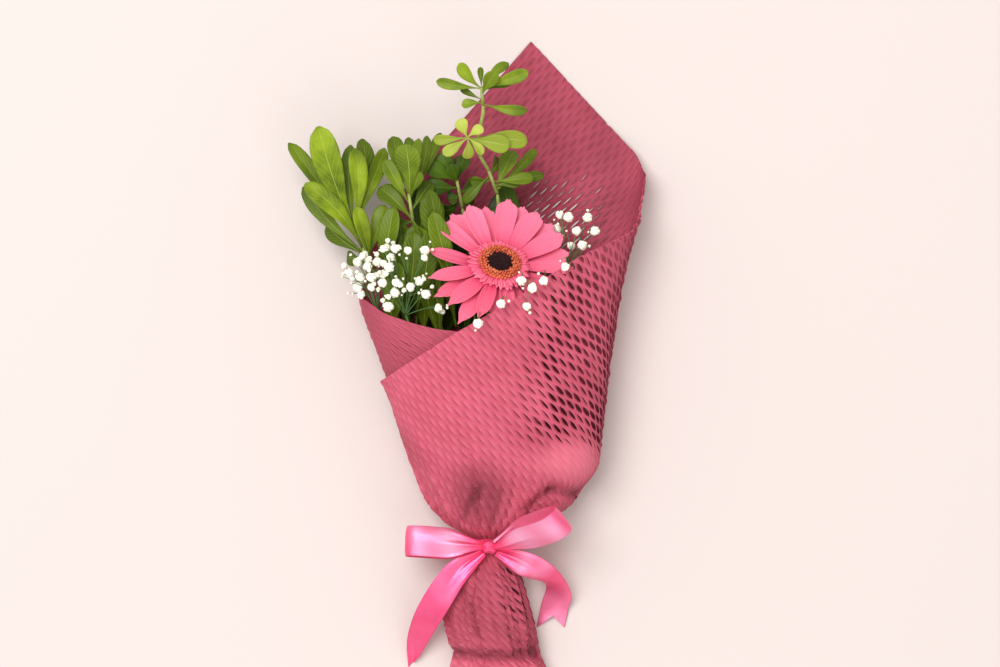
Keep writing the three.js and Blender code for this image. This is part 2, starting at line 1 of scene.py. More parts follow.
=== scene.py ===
import math
import random
import bpy
import numpy as np
from mathutils import Matrix, Vector, noise


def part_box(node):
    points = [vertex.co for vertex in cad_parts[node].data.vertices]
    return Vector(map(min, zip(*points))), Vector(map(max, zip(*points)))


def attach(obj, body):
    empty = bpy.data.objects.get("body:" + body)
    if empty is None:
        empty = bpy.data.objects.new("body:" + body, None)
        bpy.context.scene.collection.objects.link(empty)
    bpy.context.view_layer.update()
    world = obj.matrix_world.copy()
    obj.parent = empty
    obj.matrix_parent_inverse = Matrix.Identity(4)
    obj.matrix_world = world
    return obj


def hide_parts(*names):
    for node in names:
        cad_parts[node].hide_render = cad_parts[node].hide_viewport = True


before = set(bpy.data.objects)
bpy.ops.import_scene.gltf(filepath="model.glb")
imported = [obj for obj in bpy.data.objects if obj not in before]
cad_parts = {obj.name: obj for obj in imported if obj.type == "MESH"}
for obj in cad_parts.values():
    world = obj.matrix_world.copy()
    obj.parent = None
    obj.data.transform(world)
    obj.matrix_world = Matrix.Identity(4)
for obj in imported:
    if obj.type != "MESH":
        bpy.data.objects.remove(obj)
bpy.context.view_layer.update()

# A gerbera bouquet in honeycomb paper, lying on its back. Lengths in the settings are millimetres
# and angles are degrees. The origin of the settings is at the tie, on the floor.
mm = 0.001
knotLow, knotHigh = (Vector(corner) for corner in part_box("ribbon_knot"))
knotMiddle = (knotLow + knotHigh) / 2
tie = Vector((knotMiddle.x, knotMiddle.y, 0))


def fromTie(x, y, z):
    return tie + Vector((x, y, z)) * mm


def rad(degrees):
    return math.radians(degrees)


def smooth(low, high, value):
    t = min(max((value - low) / (high - low), 0), 1)
    return t * t * (3 - 2 * t)


def mix(a, b, t):
    return a + (b - a) * t


# The view and the light, in metres and watts.
studio = dict(
    lens=135, height=2.735, across=0.023, along=0.0196,
    floorColor=(0.69, 0.608, 0.582), floorSize=8,
    keyPower=100, keySize=1.9, keyPlace=(-0.9, 0.9, 3.3),
    fillPower=15, fillSize=2.2, fillPlace=(0.6, -1.7, 2.2),
    skyColor=(1.0, 0.975, 0.95), skyStrength=0.65,
)


def areaLight(name, power, size, place, aim):
    light = bpy.data.lights.new(name, "AREA")
    light.energy = power
    light.size = size
    lamp = bpy.data.objects.new(name, light)
    lamp.location = place
    lamp.rotation_euler = (Vector(aim) - Vector(place)).to_track_quat("-Z", "Y").to_euler()
    bpy.context.scene.collection.objects.link(lamp)


def makeStudio():
    scene = bpy.context.scene
    scene.view_settings.view_transform = "Standard"
    cameraData = bpy.data.cameras.new("camera")
    cameraData.lens = studio["lens"]
    camera = bpy.data.objects.new("camera", cameraData)
    camera.location = (studio["across"], studio["along"], studio["height"])
    scene.collection.objects.link(camera)
    scene.camera = camera
    areaLight("key", studio["keyPower"], studio["keySize"], studio["keyPlace"], (0, 0, 0.05))
    areaLight("fill", studio["fillPower"], studio["fillSize"], studio["fillPlace"], (0, 0, 0.05))
    world = bpy.data.worlds.new("sky")
    world.use_nodes = True
    world.node_tree.nodes["Background"].inputs["Color"].default_value = (*studio["skyColor"], 1)
    world.node_tree.nodes["Background"].inputs["Strength"].default_value = studio["skyStrength"]
    scene.world = world
    half = studio["floorSize"] / 2
    mesh = bpy.data.meshes.new("floor")
    corners = [(-half, -half, 0), (half, -half, 0), (half, half, 0), (-half, half, 0)]
    mesh.from_pydata(corners, [], [(0, 1, 2, 3)])
    floor = bpy.data.objects.new("floor", mesh)
    scene.collection.objects.link(floor)
    material, tree, shader = newMaterial("paleFloor", 0.9)
    shader.inputs["Base Color"].default_value = (*studio["floorColor"], 1)
    mesh.materials.append(material)


# A node with its sockets fed by plain values or by other sockets.
def put(tree, kind, feeds=None, **settings):
    made = tree.nodes.new(kind)
    for key, value in settings.items():
        setattr(made, key, value)
    for socket, value in (feeds or {}).items():
        target = made.inputs[socket]
        if isinstance(value, bpy.types.NodeSocket):
            tree.links.new(value, target)
        else:
            target.default_value = value
    return made


def calc(tree, operation, a, b=0.0, c=0.0):
    return put(tree, "ShaderNodeMath", {0: a, 1: b, 2: c}, operation=operation).outputs[0]


def times(tree, a, b):
    return calc(tree, "MULTIPLY", a, b)


def plus(tree, a, b):
    return calc(tree, "ADD", a, b)


def minus(tree, a, b):
    return calc(tree, "SUBTRACT", a, b)


def remap(tree, value, low, high, start=0.0, end=1.0):
    return put(tree, "ShaderNodeMapRange", {0: value, 1: low, 2: high, 3: start, 4: end}).outputs[0]


def vectorOf(tree, x=0.0, y=0.0, z=0.0):
    return put(tree, "ShaderNodeCombineXYZ", {0: x, 1: y, 2: z}).outputs[0]


def scaledBy(tree, vector, much):
    return put(tree, "ShaderNodeVectorMath", {0: vector, "Scale": much}, operation="SCALE").outputs[0]


def ramp(tree, value, stops):
    made = put(tree, "ShaderNodeValToRGB", {0: value})
    bar = made.color_ramp
    while len(bar.elements) < len(stops):
        bar.elements.new(0.5)
    for element, (place, color) in zip(bar.elements, stops):
        element.position = place
        element.color = (*color, 1)
    return made.outputs[0]


def blend(tree, share, a, b):
    made = put(tree, "ShaderNodeMix", data_type="RGBA")
    for socket, value in ((made.inputs[0], share), (made.inputs[6], a), (made.inputs[7], b)):
        if isinstance(value, bpy.types.NodeSocket):
            tree.links.new(value, socket)
        else:
            socket.default_value = (*value, 1) if isinstance(value, tuple) else value
    return made.outputs[2]


def newMaterial(name, roughness, **sockets):
    material = bpy.data.materials.new(name)
    material.use_nodes = True
    tree = material.node_tree
    shader = tree.nodes["Principled BSDF"]
    shader.inputs["Roughness"].default_value = roughness
    for socket, value in sockets.items():
        shader.inputs[socket.replace("_", " ")].default_value = value
    return material, tree, shader


def bumpFrom(tree, shader, height, distance, strength=1.0):
    bump = put(tree, "ShaderNodeBump", {"Height": height, "Distance": distance, "Strength": strength})
    tree.links.new(bump.outputs["Normal"], shader.inputs["Normal"])


def srgb(code):
    parts = [int(code[i:i + 2], 16) / 255 for i in (0, 2, 4)]
    return tuple(p / 12.92 if p <= 0.04045 else ((p + 0.055) / 1.055) ** 2.4 for p in parts)


# Shared by every plant skin and the paper: two tones in soft patches, and a fine grain to bump with.
def mottleGroup():
    group = bpy.data.node_groups.new("mottle", "ShaderNodeTree")
    sockets = [("Light", "INPUT", "Color"), ("Dark", "INPUT", "Color"), ("Patch Scale", "INPUT", "Float"),
               ("Grain Scale", "INPUT", "Float"), ("Color", "OUTPUT", "Color"), ("Grain", "OUTPUT", "Float")]
    for name, side, kind in sockets:
        group.interface.new_socket(name=name, in_out=side, socket_type="NodeSocket" + kind)
    start = group.nodes.new("NodeGroupInput")
    end = group.nodes.new("NodeGroupOutput")
    place = put(group, "ShaderNodeTexCoord").outputs["Object"]
    patchScale, grainScale = start.outputs["Patch Scale"], start.outputs["Grain Scale"]
    patches = put(group, "ShaderNodeTexNoise", {"Vector": place, "Scale": patchScale, "Detail": 4.0})
    grain = put(group, "ShaderNodeTexNoise", {"Vector": place, "Scale": grainScale, "Detail": 3.0})
    share = remap(group, patches.outputs[0], 0.32, 0.68)
    color = blend(group, share, start.outputs["Light"], start.outputs["Dark"])
    group.links.new(color, end.inputs["Color"])
    group.links.new(grain.outputs[0], end.inputs["Grain"])
    return group


mottle = mottleGroup()


def mottled(tree, light, dark, patchScale, grainScale):
    made = put(tree, "ShaderNodeGroup", node_tree=mottle)
    made.inputs["Light"].default_value = (*light, 1)
    made.inputs["Dark"].default_value = (*dark, 1)
    made.inputs["Patch Scale"].default_value = patchScale
    made.inputs["Grain Scale"].default_value = grainScale
    return made.outputs["Color"], made.outputs["Grain"]


def attributeOf(tree, name):
    return put(tree, "ShaderNodeAttribute", attribute_name=name).outputs["Fac"]


def acrossAndAlong(tree):
    flat = put(tree, "ShaderNodeUVMap", uv_map="flat")
    parts = put(tree, "ShaderNodeSeparateXYZ", {0: flat.outputs[0]})
    return parts.outputs[0], parts.outputs[1]


def paperFinish():
    material, tree, shader = newMaterial("honeycombPaper", 0.82)
    color, grain = mottled(tree, srgb("CA566E"), srgb("B8465C"), 26, 1400)
    # Painted highlight and shade on the slit lips: the upper lip is painted lighter as lit, the lower lip
    # darker as shaded.
    ridge = attributeOf(tree, "ridge")
    up = remap(tree, ridge, 0.0, 1.0)
    down = remap(tree, ridge, 0.0, -1.0)
    lit = blend(tree, times(tree, up, 0.5), color, srgb("DC7088"))
    lipShade = blend(tree, times(tree, down, 0.6), lit, srgb("7E2638"))
    # The shade attribute paints light into the colour: painted shade where it is positive, broken up by the
    # grain, and a painted highlight where it is negative.
    shade = attributeOf(tree, "shade")
    patchy = times(tree, shade, calc(tree, "MULTIPLY_ADD", grain, 0.9, 0.55))
    paintedShade = blend(tree, calc(tree, "MAXIMUM", patchy, 0.0), lipShade, srgb("70202E"))
    bright = calc(tree, "MAXIMUM", times(tree, shade, -1.0), 0.0)
    shadedAndLitPaper = blend(tree, bright, paintedShade, srgb("EE7C92"))
    tree.links.new(shadedAndLitPaper, shader.inputs["Base Color"])
    bumpFrom(tree, shader, grain, 0.0003, 0.5)
    return material


def satinFinish():
    material, tree, shader = newMaterial(
        "pinkSatin", 0.4, Metallic=0.65, Sheen_Weight=0.15, Sheen_Roughness=0.3, Specular_IOR_Level=0.75)
    shader.inputs["Sheen Tint"].default_value = (1, 0.72, 0.8, 1)
    across, along = acrossAndAlong(tree)
    color, _ = mottled(tree, srgb("FF5F92"), srgb("F84A80"), 60, 500)
    leaning = plus(tree, along, times(tree, across, 0.05))
    light = [  # painted sheen: how light the satin is painted along the ribbon, from the knot
        (0.03, 0), (0.14, 0.05), (0.25, 0.95), (0.33, 0.5), (0.4, 0.75), (0.49, 0.1), (0.7, 0.5), (0.95, 0.8)]
    sheenBands = ramp(tree, leaning, [(place, (much, much, much)) for place, much in light])
    # Painted sheen: the colour goes towards pale pink in these bands, as strongly as the piece's tone.
    color = blend(tree, times(tree, sheenBands, attributeOf(tree, "tone")), color, srgb("FFB8DA"))
    middle = calc(tree, "ABSOLUTE", minus(tree, across, 0.5))
    selvage = remap(tree, middle, 0.465, 0.485)
    color = blend(tree, times(tree, selvage, 0.5), color, srgb("D83070"))
    tree.links.new(color, shader.inputs["Base Color"])
    threads = calc(tree, "SINE", times(tree, along, 9000.0))
    height = plus(tree, times(tree, threads, 0.12), times(tree, selvage, 0.8))
    bumpFrom(tree, shader, height, 0.0001, 0.6)
    return material


def petalFinish():
    material, tree, shader = newMaterial("petalPink", 0.5, Subsurface_Weight=0.12, Subsurface_Scale=0.004)
    shader.inputs["Subsurface Radius"].default_value = (1, 0.35, 0.4)
    across, along = acrossAndAlong(tree)
    tone = attributeOf(tree, "tone")
    pale = ramp(tree, along, [
        (0.0, srgb("CC2C54")), (0.2, srgb("E64A70")), (0.42, srgb("F66C8E")), (1.0, srgb("FC7E9E"))])
    # Painted shade: the higher a petal's tone, the more its colour comes from this deeper ramp; it is
    # strongest on the half of the head where the petals droop and tuck in.
    paintedShade = ramp(tree, along, [(0.0, srgb("C02850")), (0.3, srgb("E04468")), (1.0, srgb("F0647E"))])
    base = blend(tree, tone, pale, paintedShade)
    stretched = vectorOf(tree, times(tree, across, 26.0), times(tree, along, 1.2), tone)
    streaks = put(tree, "ShaderNodeTexNoise", {"Vector": stretched, "Scale": 1.0, "Detail": 3.0}).outputs[0]
    share = remap(tree, streaks, 0.45, 0.75)
    veined = blend(tree, times(tree, share, 0.35), base, srgb("E84A74"))
    tree.links.new(veined, shader.inputs["Base Color"])
    ribs = calc(tree, "SINE", times(tree, across, 62.0))
    bumpFrom(tree, shader, plus(tree, times(tree, ribs, 0.4), streaks), 0.00022, 0.6)
    return material


def toneFinish(name, roughness, low, high):
    material, tree, shader = newMaterial(name, roughness)
    color, grain = mottled(tree, low, high, 900, 2200)
    tone = attributeOf(tree, "tone")
    tree.links.new(blend(tree, tone, color, high), shader.inputs["Base Color"])
    bumpFrom(tree, shader, grain, 0.0001, 0.5)
    return material


def leafFinish(name, light, dark, rib, roughness):
    material, tree, shader = newMaterial(name, roughness, Specular_IOR_Level=0.2)
    across, along = acrossAndAlong(tree)
    tone = attributeOf(tree, "tone")
    color, grain = mottled(tree, light, dark, 45, 1500)
    shaded = blend(tree, tone, color, dark)
    middle = calc(tree, "ABSOLUTE", minus(tree, across, 0.5))
    ribShare = remap(tree, middle, 0.05, 0.02)
    fade = remap(tree, along, 1.0, 0.3, 0.15, 0.9)
    slanted = minus(tree, times(tree, along, 70.0), times(tree, middle, 46.0))
    veins = remap(tree, calc(tree, "SINE", slanted), 0.86, 1.0)
    veined = blend(tree, times(tree, veins, 0.22), shaded, rib)
    ribbed = blend(tree, times(tree, ribShare, fade), veined, rib)
    tree.links.new(ribbed, shader.inputs["Base Color"])
    height = minus(tree, times(tree, grain, 0.4), times(tree, veins, 0.5))
    bumpFrom(tree, shader, height, 0.00022, 0.6)
    return material


def skinFinish(name, light, dark, roughness, **sockets):
    material, tree, shader = newMaterial(name, roughness, **sockets)
    color, grain = mottled(tree, light, dark, 120, 1800)
    tree.links.new(color, shader.inputs["Base Color"])
    bumpFrom(tree, shader, grain, 0.0002, 0.5)
    return material


finishes = dict(
    paper=paperFinish(),
    satin=satinFinish(),
    petal=petalFinish(),
    rays=toneFinish("innerRayPink", 0.55, srgb("E03C64"), srgb("F87090")),
    disc=toneFinish("discOrange", 0.7, srgb("F4A45C"), srgb("D04A3C")),
    eye=toneFinish("eyeMaroon", 0.75, srgb("4A0E14"), srgb("200406")),
    leaf=leafFinish("leafGreen", srgb("8CA21C"), srgb("465C04"), srgb("C0C864"), 0.42),
    youngLeaf=leafFinish("youngLeafGreen", srgb("B8C250"), srgb("88982A"), srgb("DEE294"), 0.42),
    darkLeaf=leafFinish("darkLeafGreen", srgb("50700C"), srgb("283C04"), srgb("7E9430"), 0.36),
    stem=skinFinish("stemGreen", srgb("96AE5A"), srgb("6E8C3C"), 0.5),
    twig=skinFinish("twigGreen", srgb("A4B45C"), srgb("7C8C3E"), 0.6),
    sprayStem=skinFinish("sprayGreen", srgb("5E8244"), srgb("3C5C2C"), 0.55),
    spray=skinFinish("sprayWhite", srgb("FFFFF2"), srgb("FFFDE4"), 0.95, Specular_IOR_Level=0.15),
    rubber=skinFinish("rubberBuff", srgb("CDB088"), srgb("B89468"), 0.6),
)


def meshOf(name, points, faces, uvs=None):
    mesh = bpy.data.meshes.new(name)
    mesh.from_pydata([tuple(p) for p in points], [], faces)
    if uvs is not None:
        layer = mesh.uv_layers.new(name="flat")
        for loop in mesh.loops:
            layer.data[loop.index].uv = uvs[loop.vertex_index]
    return mesh


# A piece of several sheets, tubes and solids of turning, each with its own tone; on petals the tone is
# painted shade, on the ribbon the strength of its painted sheen.
class Build:
    def __init__(self):
        self.points, self.faces, self.uvs, self.tones, self.slots = [], [], [], [], []

    def take(self, points, faces, uvs=None, tone=0.0, slot=0):
        start = len(self.points)
        self.points += points
        self.faces += [tuple(start + v for v in face) for face in faces]
        self.uvs += uvs or [(0.5, 0.5)] * len(points)
        self.tones += [tone] * len(points)
        self.slots += [slot] * len(faces)

    def sheet(self, rows, thick, tone=0.0, slot=0):
        points, faces, uvs = slabOf(rows, thick)
        self.take(points, faces, uvs, tone, slot)

    def rod(self, path, radii, sides=6, tone=0.0, slot=0):
        points, faces, uvs = rodOf(path, radii, sides)
        self.take(points, faces, uvs, tone, slot)

    def mesh(self, name):
        made = meshOf(name, self.points, self.faces, self.uvs)
        made.attributes.new("tone", "FLOAT", "POINT").data.foreach_set("value", self.tones)
        made.polygons.foreach_set("material_index", self.slots)
        made.polygons.foreach_set("use_smooth", [True] * len(made.polygons))
        return made


# A closed slab from rows of points: both faces and a rim.
def slabOf(rows, thick):
    high, wide = len(rows), len(rows[0])
    flat = np.array([[tuple(p) for p in row] for row in rows])
    down = np.gradient(flat, axis=0)
    right = np.gradient(flat, axis=1)
    normal = np.cross(right, down)
    normal /= np.maximum(np.linalg.norm(normal, axis=2, keepdims=True), 1e-12)
    top = (flat + normal * thick / 2).reshape(-1, 3)
    under = (flat - normal * thick / 2).reshape(-1, 3)
    points = [Vector(p) for p in np.vstack([top, under])]
    size = high * wide
    uvs = [(j / (wide - 1), i / (high - 1)) for i in range(high) for j in range(wide)] * 2
    faces = []
    for i in range(high - 1):
        for j in range(wide - 1):
            a = i * wide + j
            faces.append((a, a + 1, a + wide + 1, a + wide))
            faces.append((size + a, size + a + wide, size + a + wide + 1, size + a + 1))
    rim = [j for j in range(wide)]
    rim += [i * wide + wide - 1 for i in range(1, high)]
    rim += [(high - 1) * wide + j for j in range(wide - 2, -1, -1)]
    rim += [i * wide for i in range(high - 2, 0, -1)]
    for a, b in zip(rim, rim[1:] + rim[:1]):
        faces.append((b, a, size + a, size + b))
    return points, faces, uvs


def rodOf(path, radii, sides):
    path = [Vector(p) for p in path]
    points, faces = [], []
    side = None
    for i, place in enumerate(path):
        ahead = (path[min(i + 1, len(path) - 1)] - path[max(i - 1, 0)]).normalized()
        if side is None:
            side = ahead.orthogonal().normalized()
        side = (side - ahead * side.dot(ahead)).normalized()
        other = ahead.cross(side)
        radius = radii[0] + (radii[1] - radii[0]) * i / (len(path) - 1)
        for k in range(sides):
            turn = 2 * math.pi * k / sides
            points.append(place + (side * math.cos(turn) + other * math.sin(turn)) * radius)
    for i in range(len(path) - 1):
        for k in range(sides):
            a, b = i * sides + k, i * sides + (k + 1) % sides
            faces.append((a, b, b + sides, a + sides))
    faces.append(tuple(range(sides - 1, -1, -1)))
    last = (len(path) - 1) * sides
    faces.append(tuple(range(last, last + sides)))
    uvs = [(k / sides, i / (len(path) - 1)) for i in range(len(path)) for k in range(sides)]
    return points, faces, uvs


# A solid of turning about Z from a profile of (radius, height) that starts and ends on the axis.
def turnedOf(profile, sides, star=0.0):
    inner = profile[1:-1]
    points = [Vector((0, 0, profile[0][1]))]
    for radius, height in inner:
        for k in range(sides):
            turn = 2 * math.pi * k / sides
            reach = radius * (1 - star * (k % 2))
            points.append(Vector((reach * math.cos(turn), reach * math.sin(turn), height)))
    points.append(Vector((0, 0, profile[-1][1])))
    last = len(points) - 1
    faces = []
    for k in range(sides):
        n = (k + 1) % sides
        faces.append((0, 1 + n, 1 + k))
        for row in range(len(inner) - 1):
            a, b = 1 + row * sides + k, 1 + row * sides + n
            faces.append((a, b, b + sides, a + sides))
        top = 1 + (len(inner) - 1) * sides
        faces.append((top + k, top + n, last))
    return points, faces


def curveThrough(points, count):
    points = [Vector(p) for p in points]
    ends = [points[0] * 2 - points[1]] + points + [points[-1] * 2 - points[-2]]
    spans = len(points) - 1
    result = []
    for i in range(count + 1):
        at = spans * i / count
        k = min(int(at), spans - 1)
        t = at - k
        a, b, c, d = ends[k:k + 4]
        square, cube = 2 * a - 5 * b + 4 * c - d, 3 * b - a - 3 * c + d
        result.append(0.5 * (2 * b + (c - a) * t + square * t * t + cube * t ** 3))
    return result


def valueThrough(stops, at):
    xs = [s[0] for s in stops]
    ys = [s[1] for s in stops]
    return float(np.interp(at, xs, ys))


def newPiece(name, mesh, *materials):
    piece = bpy.data.objects.new(name, mesh)
    bpy.context.scene.collection.objects.link(piece)
    for material in materials:
        mesh.materials.append(material)
    return piece


# The evaluated shape becomes the piece's own plain mesh.
def settle(piece):
    depsgraph = bpy.context.evaluated_depsgraph_get()
    mesh = bpy.data.meshes.new_from_object(piece.evaluated_get(depsgraph), depsgraph=depsgraph)
    piece.modifiers.clear()
    piece.data = mesh
    return mesh


def soften(piece):
    smoothing = piece.modifiers.new("smooth", "SUBSURF")
    smoothing.levels = 1
    smoothing.render_levels = 1
    return settle(piece)


def finishPiece(piece, slot, node):
    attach(piece, "root")
    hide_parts(node)


def treeInput(tree, name, kind):
    tree.interface.new_socket(name=name, in_out="INPUT", socket_type="NodeSocket" + kind)


def grow(piece, tree, values):
    modifier = piece.modifiers.new("grow", "NODES")
    modifier.node_group = tree
    for item in tree.interface.items_tree:
        if item.item_type == "SOCKET" and item.in_out == "INPUT" and item.name in values:
            modifier[item.identifier] = values[item.name]


def seedObject(name, points, faces):
    mesh = meshOf(name, points, faces)
    mesh.polygons.foreach_set("use_smooth", [True] * len(faces))
    piece = bpy.data.objects.new(name, mesh)
    bpy.context.scene.collection.objects.link(piece)
    return piece


def discard(*pieces):
    for piece in pieces:
        bpy.data.objects.remove(piece, do_unlink=True)


# The paper is one sheet rolled round the flowers. Turn 0 is the right side of the roll, 90 its front.
roll = dict(
    stations=[  # along, left, right, floor side, front
        (-95, -21, 36, 0, 42), (-70, -25, 32, 0, 41), (-45, -30, 27, 1, 39), (-22, -25, 21, 4.5, 36),
        (0, -9.92, 9.92, 8, 27.84), (14, -25, 33, 5.5, 46), (32, -41, 60, 1.5, 62), (60, -53, 76, 0, 77),
        (90, -65, 82, 0, 88), (135, -81, 87, 0, 92), (180, -96, 94, 0, 95), (237, -101, 107, 0, 98),
        (264, -102, 113, 0, 98), (362, -103, 116, 0, 98),
    ],
    widest=0.4, backPower=0.5, frontPower=0.86, backDip=1.035,
    backEdge=[(-96, 179), (-88, 212), (-76, 239), (-54, 271), (-19, 310), (30, 366), (106, 284), (115, 264)],
    frontEdge=[(-78, 117), (-24, 153), (11, 173.5), (46, 197), (65, 209), (81, 216), (100, 226),
               (108, 240), (114, 264)],
    tuckedEdge=[(-96, 179), (-78, 167), (-58, 160.5), (-40, 156), (20, 150)],
    start=-292, end=210, corner=178, endDrop=1.2, layer=1.6, bottom=-95,
    thickness=0.3, turnStep=2.0, columns=84, keyStep=6.0, keyEnd=376, leastRound=150,
)
stationKeys = np.array(roll["stations"], dtype=float)


def sectionAt(along):
    table = stationKeys
    y = min(max(along, table[0, 0]), table[-1, 0])
    i = int(min(max(np.searchsorted(table[:, 0], y, side="right") - 1, 0), len(table) - 2))

    def slope(j):
        if j == 0 or j == len(table) - 1:
            return np.zeros(4)
        before = (table[j, 1:] - table[j - 1, 1:]) / (table[j, 0] - table[j - 1, 0])
        after = (table[j + 1, 1:] - table[j, 1:]) / (table[j + 1, 0] - table[j, 0])
        same = before * after > 0
        return np.where(same, 2 * before * after / np.where(same, before + after, 1), 0)

    span = table[i + 1, 0] - table[i, 0]
    t = (y - table[i, 0]) / span
    return (table[i, 1:] * (1 + 2 * t) * (1 - t) ** 2 + table[i + 1, 1:] * t * t * (3 - 2 * t)
            + span * (slope(i) * t * (1 - t) ** 2 - slope(i + 1) * t * t * (1 - t)))


def rollPoint(turn, along, outward):
    left, right, low, front = sectionAt(along)
    c, s = math.cos(rad(turn)), math.sin(rad(turn))
    power = roll["backPower"] if s < 0 else roll["frontPower"]
    widest = low + roll["widest"] * (front - low)
    reach = ((widest - low) * roll["backDip"] if s < 0 else front - widest) + outward
    half = (right - left) / 2 + outward
    x = (left + right) / 2 + half * math.copysign(abs(c) ** power, c)
    z = widest + reach * math.copysign(abs(s) ** power, s)
    return np.array((x, along, max(z, low - outward)))


def topAt(turn):
    if turn > roll["corner"]:
        return roll["frontEdge"][0][1] - roll["endDrop"] * (turn - roll["corner"])
    edge = roll["tuckedEdge"] if turn < -180 else roll["backEdge"] if turn < 0 else roll["frontEdge"]
    along = edge[0][1]
    for _ in range(12):
        along = (along + valueThrough(edge, rollPoint(turn, along, 0)[0])) / 2
    return along


def layerAt(turn):
    return roll["layer"] * (smooth(10, 70, turn) + smooth(-170, -110, turn) - 1)


creases = dict(
    pleats=[(7, 0.3, 1.0), (11, 2.1, 0.8), (17, 4.4, 0.6), (26, 1.2, 0.4)],  # how many, where, how much
    headDepth=2.8, skirtDepth=2.4, crumple=1.3, edgeLift=1.6,
    bulges=[  # x, along, reach across, reach along, height
        (60, 60, 20, 13, 5.0), (62, 28, 10, 7, 2.5), (-12, 44, 12, 20, -1.0),
        (-40, 95, 26, 30, 1.5), (20, 110, 30, 30, 1.6), (30, 54, 14, 9, 2.0),
    ],
    folds=[  # from, to, how wide, how deep and how dark the painted shade in it is
        (26, 28, 44, 42, 3.2, -4.0, 0.5), (44, 42, 72, 37, 3.4, -5.0, 0.6),
        (-28, -77, 36, -78, 2.6, -4.0, 0.55), (-20, 20, -6, 44, 3.4, -1.4, 0.4),
        (2, 14, 8, 40, 2.6, -2.0, 0.3), (-22, -30, -8, -62, 5, -2.0, 0.2),
        (6, -58, 30, -74, 5, -1.6, 0.2), (-20, -62, 4, -50, 5, 1.6, 0.0),
    ],
    smoothPatch=(58, 51, 27, 28),  # where the slits are pressed flat
    litPatch=(58, 62, 24, 15),  # the bulge that catches the light
    shadedPatch=(-8, 38, 20, 25), shade=0.5,  # where the paper is crumpled and painted darker as the shadow of the stems behind it
)


def patchAt(patch, x, along):
    px, py, wide, high = patch
    return math.exp(-(((x - px) / wide) ** 2 + ((along - py) / high) ** 2) ** 2)


def foldAt(x, along, depth):
    total = 0.0
    for x0, y0, x1, y1, wide, *amounts in creases["folds"]:
        run, rise = x1 - x0, y1 - y0
        share = min(max(((x - x0) * run + (along - y0) * rise) / (run * run + rise * rise), 0), 1)
        off = math.hypot(x - x0 - run * share, along - y0 - rise * share)
        total += amounts[depth] * math.exp(-(off / wide) ** 2)
    return total


# How far the paper stands off the plain roll, in millimetres: pleats drawn into the tie, soft
# bulges and a crumple all over.
def creaseAt(turn, along, x, z):
    wave = sum(much * math.cos(rad(turn * count) + place * 3) for count, place, much in creases["pleats"])
    head = smooth(5, 20, along) * (1 - smooth(26, 105, along)) * creases["headDepth"]
    skirt = smooth(5, 22, -along) * creases["skirtDepth"]
    pleat = math.sqrt(wave * wave + 0.09) - 0.85
    result = (head + skirt) * pleat * (1 - 0.9 * patchAt(creases["smoothPatch"], x, along))
    free = smooth(6, 30, abs(along))
    shown = math.sin(rad(turn)) > 0
    if shown:
        result += patchAt(creases["shadedPatch"], x, along) * noise.noise(Vector((x, along, z)) * 0.14)
    spot = Vector((x * 0.035, along * 0.028, z * 0.035))
    result += free * creases["crumple"] * noise.noise(spot)
    result += free * 0.35 * noise.noise(spot * 4.1)
    if shown:
        for bx, by, wide, high, much in creases["bulges"]:
            result += much * math.exp(-((x - bx) / wide) ** 2 - ((along - by) / high) ** 2)
        result += foldAt(x, along, 0)
    result += 4.0 * smooth(79, 95, -along)
    if turn < -180:
        result -= 1.6 * smooth(8, 24, along) * smooth(-180, -200, turn)
    if math.sin(rad(turn)) < -0.5:
        result *= 0.25
    return result


slits = dict(
    pitch=12.8, rows=3.9, turn=-52, relief=1.25, closedHole=-0.1, uneven=1.1,
    holeLong=0.72, holeHigh=0.40,
)


# How far the slits stand open, from 0 to 1.
def opennessAt(turn, along, x):
    t = (turn + 180) % 360 - 180
    if along < 0:
        return 0.03 + 0.5 * smooth(-4, 14, x) * smooth(8, 22, -along) * (1 - smooth(40, 66, -along))
    if t >= 0 or turn > 180:
        right = smooth(8, 44, x - 0.14 * (along - 120)) * smooth(70, 90, along + 0.1 * x)
        left = smooth(-40, -60, x) * smooth(126, 140, along) * (1 - smooth(140, 158, along)) * (turn < 0)
        return max(0.02 + 0.85 * right, 0.5 * left) * (1 - patchAt(creases["smoothPatch"], x, along))
    inside = smooth(14, 36, x) * smooth(284, 250, along) * smooth(170, 200, along) * smooth(104, 76, x)
    return 0.6 * inside
